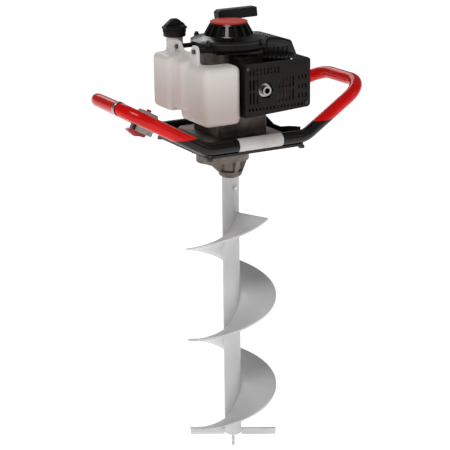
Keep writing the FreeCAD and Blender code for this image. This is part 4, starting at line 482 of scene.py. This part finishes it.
def tube_sleeve():
    """The bare printed sleeve shrunk on the front tube."""
    low, high, edge = -0.047, 0.059, 0.0004
    inner, outer = TUBE + 0.00002, TUBE + 0.00026
    bevel = outer - 0.0001
    profile = [
        (inner, low), (bevel, low), (outer, low + edge),
        (outer, high - edge), (bevel, high), (inner, high),
    ]
    finish = Finish("sleeve_look", Specular_IOR_Level=0.35)
    cloud = finish.span(finish.noise(30.0, 5.0), 0.3, 0.7)
    finish.colour(finish.mix(cloud, (0.46, 0.42, 0.405), (0.58, 0.545, 0.53)))
    finish.rough(finish.span(finish.noise(60.0, 5.0), 0.3, 0.7, 0.35, 0.5))
    finish.bump(finish.noise(300.0, 2.0), 0.08, 0.0003)
    centre = (FRONT_Y, HEIGHT)
    mesh = mesh_of("tube_sleeve", lambda work: ring_mesh(work, profile, 64, centre, axis="x"))
    piece("tube_sleeve", mesh, "powerhead", "grey_plastic", finish.material)


tube_sleeve()


# Behind the cone's slots: a dark louvred liner whose thin lips catch the light.

CONE_FOOT = (0.0478, HEIGHT + 0.2155)
CONE_HEAD = (0.0352, HEIGHT + 0.2365)


def cone_liner():
    """Louvres that lean inwards, each with a lip at its upper end."""
    louvres, wall = 6, 0.0008
    lip_start, lip_end, lip = 0.62, 0.80, 0.0022
    profile = []
    back = []
    drop = CONE_HEAD[0] - CONE_FOOT[0]
    rise = CONE_HEAD[1] - CONE_FOOT[1]
    for i in range(louvres):
        for part, step in ((0.0, 0.0), (lip_start, 0.0), (lip_end, lip)):
            share = (i + part) / louvres
            radius = CONE_FOOT[0] + drop * share + step
            height = CONE_FOOT[1] + rise * share
            profile.append((radius, height))
            back.append((radius - wall - step, height))
    mesh = mesh_of("cone_liner", lambda work: ring_mesh(work, profile + back[::-1], 96))
    piece("cone_liner", mesh, "powerhead", "black_plastic", smooth=False)


cone_liner()


# The pressed air baffle that closes the space between the guard's top and the cylinder's cover.

def air_baffle():
    """A sheet with upright pressed ribs in front and a flat back."""
    left, right = 0.0533, 0.122
    front, back = -0.0528, -0.0500
    low, high = HEIGHT + 0.150, HEIGHT + 0.186
    rib_pitch, rib_depth = 0.011, 0.0012
    columns, rows = 36, 10

    def build(work):
        sheets = []
        for side, base in ((1, front), (-1, back)):
            grid = []
            for j in range(rows + 1):
                height = low + (high - low) * j / rows
                line = []
                for i in range(columns + 1):
                    x = left + (right - left) * i / columns
                    wave = rib_depth * 0.5 * (1 + math.cos(math.tau * (x - left) / rib_pitch))
                    line.append(work.verts.new((x, base + (wave if side > 0 else 0.0), height)))
                grid.append(line)
            sheets.append(grid)
        for grid in sheets:
            for here, there in zip(grid, grid[1:]):
                for i in range(columns):
                    work.faces.new((here[i], here[i + 1], there[i + 1], there[i]))
        near, far = sheets
        for i in range(columns):
            work.faces.new((near[0][i], near[0][i + 1], far[0][i + 1], far[0][i]))
            work.faces.new((near[-1][i], near[-1][i + 1], far[-1][i + 1], far[-1][i]))
        for j in range(rows):
            work.faces.new((near[j][0], near[j + 1][0], far[j + 1][0], far[j][0]))
            work.faces.new((near[j][-1], near[j + 1][-1], far[j + 1][-1], far[j][-1]))
        bmesh.ops.recalc_face_normals(work, faces=work.faces)

    piece("air_baffle", mesh_of("air_baffle", build), "powerhead", "black_plastic")


air_baffle()


# Grip ribs round the fuel cap.

def cap_ribs():
    """Ribs with sloping flanks and ends on the cap's skirt."""
    low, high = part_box("fuel_cap")
    centre = ((low[0] + high[0]) / 2, (low[1] + high[1]) / 2)
    skirt_low, skirt_high, radius = low[2] + 0.0085, low[2] + 0.0185, 0.0240
    count, half, proud, sunk, run_out = 36, 0.0011, 0.0009, 0.0006, 0.001
    crest = proud + sunk
    section = [(-half, 0.0), (-half * 0.6, crest), (half * 0.6, crest), (half, 0.0)]
    levels = [
        (skirt_low, 0.3), (skirt_low + run_out, 1.0),
        (skirt_high - run_out, 1.0), (skirt_high, 0.3),
    ]

    def build(work):
        for i in range(count):
            angle = math.tau * i / count
            out = Vector((math.cos(angle), math.sin(angle), 0))
            side = Vector((-out.y, out.x, 0))
            foot = Vector((centre[0], centre[1], 0)) + out * (radius - sunk)
            rows = []
            for height, share in levels:
                lift = Vector((0, 0, height))
                rows.append([
                    work.verts.new(foot + side * across + out * depth * share + lift)
                    for across, depth in section
                ])
            prism(work, rows)
        bmesh.ops.recalc_face_normals(work, faces=work.faces)

    piece("cap_ribs", mesh_of("cap_ribs", build), "cap", "black_plastic", smooth=False)


cap_ribs()


# The primer's soft dome.

def primer_dome():
    """A rim with a thin-skinned dome."""
    low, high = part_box("primer_bulb")
    centre = ((low[0] + high[0]) / 2, (low[1] + high[1]) / 2)
    radius, foot, top = (high[0] - low[0]) / 2, low[2], high[2]
    rim, pole, steps = 0.0022, 0.0002, 8
    dome, dome_radius = top - foot - rim, radius - 0.0014
    profile = [
        (pole, foot), (radius, foot), (radius, foot + rim * 0.8), (radius - 0.0006, foot + rim),
    ]
    for i in range(steps + 1):
        angle = math.pi / 2 * i / steps
        across = max(pole, dome_radius * math.cos(angle))
        profile.append((across, foot + rim + dome * math.sin(angle)))
    mesh = mesh_of("primer_dome", lambda work: ring_mesh(work, profile, 48, centre))
    thing = piece("primer_dome", mesh, "powerhead", "clear_rubber")
    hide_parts("primer_bulb")
    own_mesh(thing)


primer_dome()


# The starter rope between its guide and the handle.

def pulled_rope():
    """A straight stretch of cord between the powerhead and the pull handle."""
    x, y, radius = 0.024, 0.054, 0.0019
    low, high = HEIGHT + 0.211, HEIGHT + 0.2275
    rings, sides = 90, 14

    def build(work):
        rows = []
        for i in range(rings):
            height = low + (high - low) * i / (rings - 1)
            rows.append([
                work.verts.new((
                    x + radius * math.cos(math.tau * k / sides),
                    y + radius * math.sin(math.tau * k / sides),
                    height,
                ))
                for k in range(sides)
            ])
        prism(work, rows)

    thing = piece("pulled_rope", mesh_of("pulled_rope", build), None, "rope_braid")
    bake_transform(thing)


pulled_rope()


# The small cable clip on the left grip's outer side.

def cable_clip():
    """A thin band round the grip."""
    middle, half_width = -0.050, 0.005
    centre = (-0.285, HEIGHT + 0.094)
    inner, outer = TUBE + 0.0001, TUBE + 0.0012
    low, high = middle - half_width, middle + half_width
    band = [(inner, low), (outer, low), (outer, high), (inner, high)]
    mesh = mesh_of("cable_clip", lambda work: ring_mesh(work, band, 40, centre, axis="y"))
    piece("cable_clip", mesh, "powerhead", "bright_steel")


cable_clip()
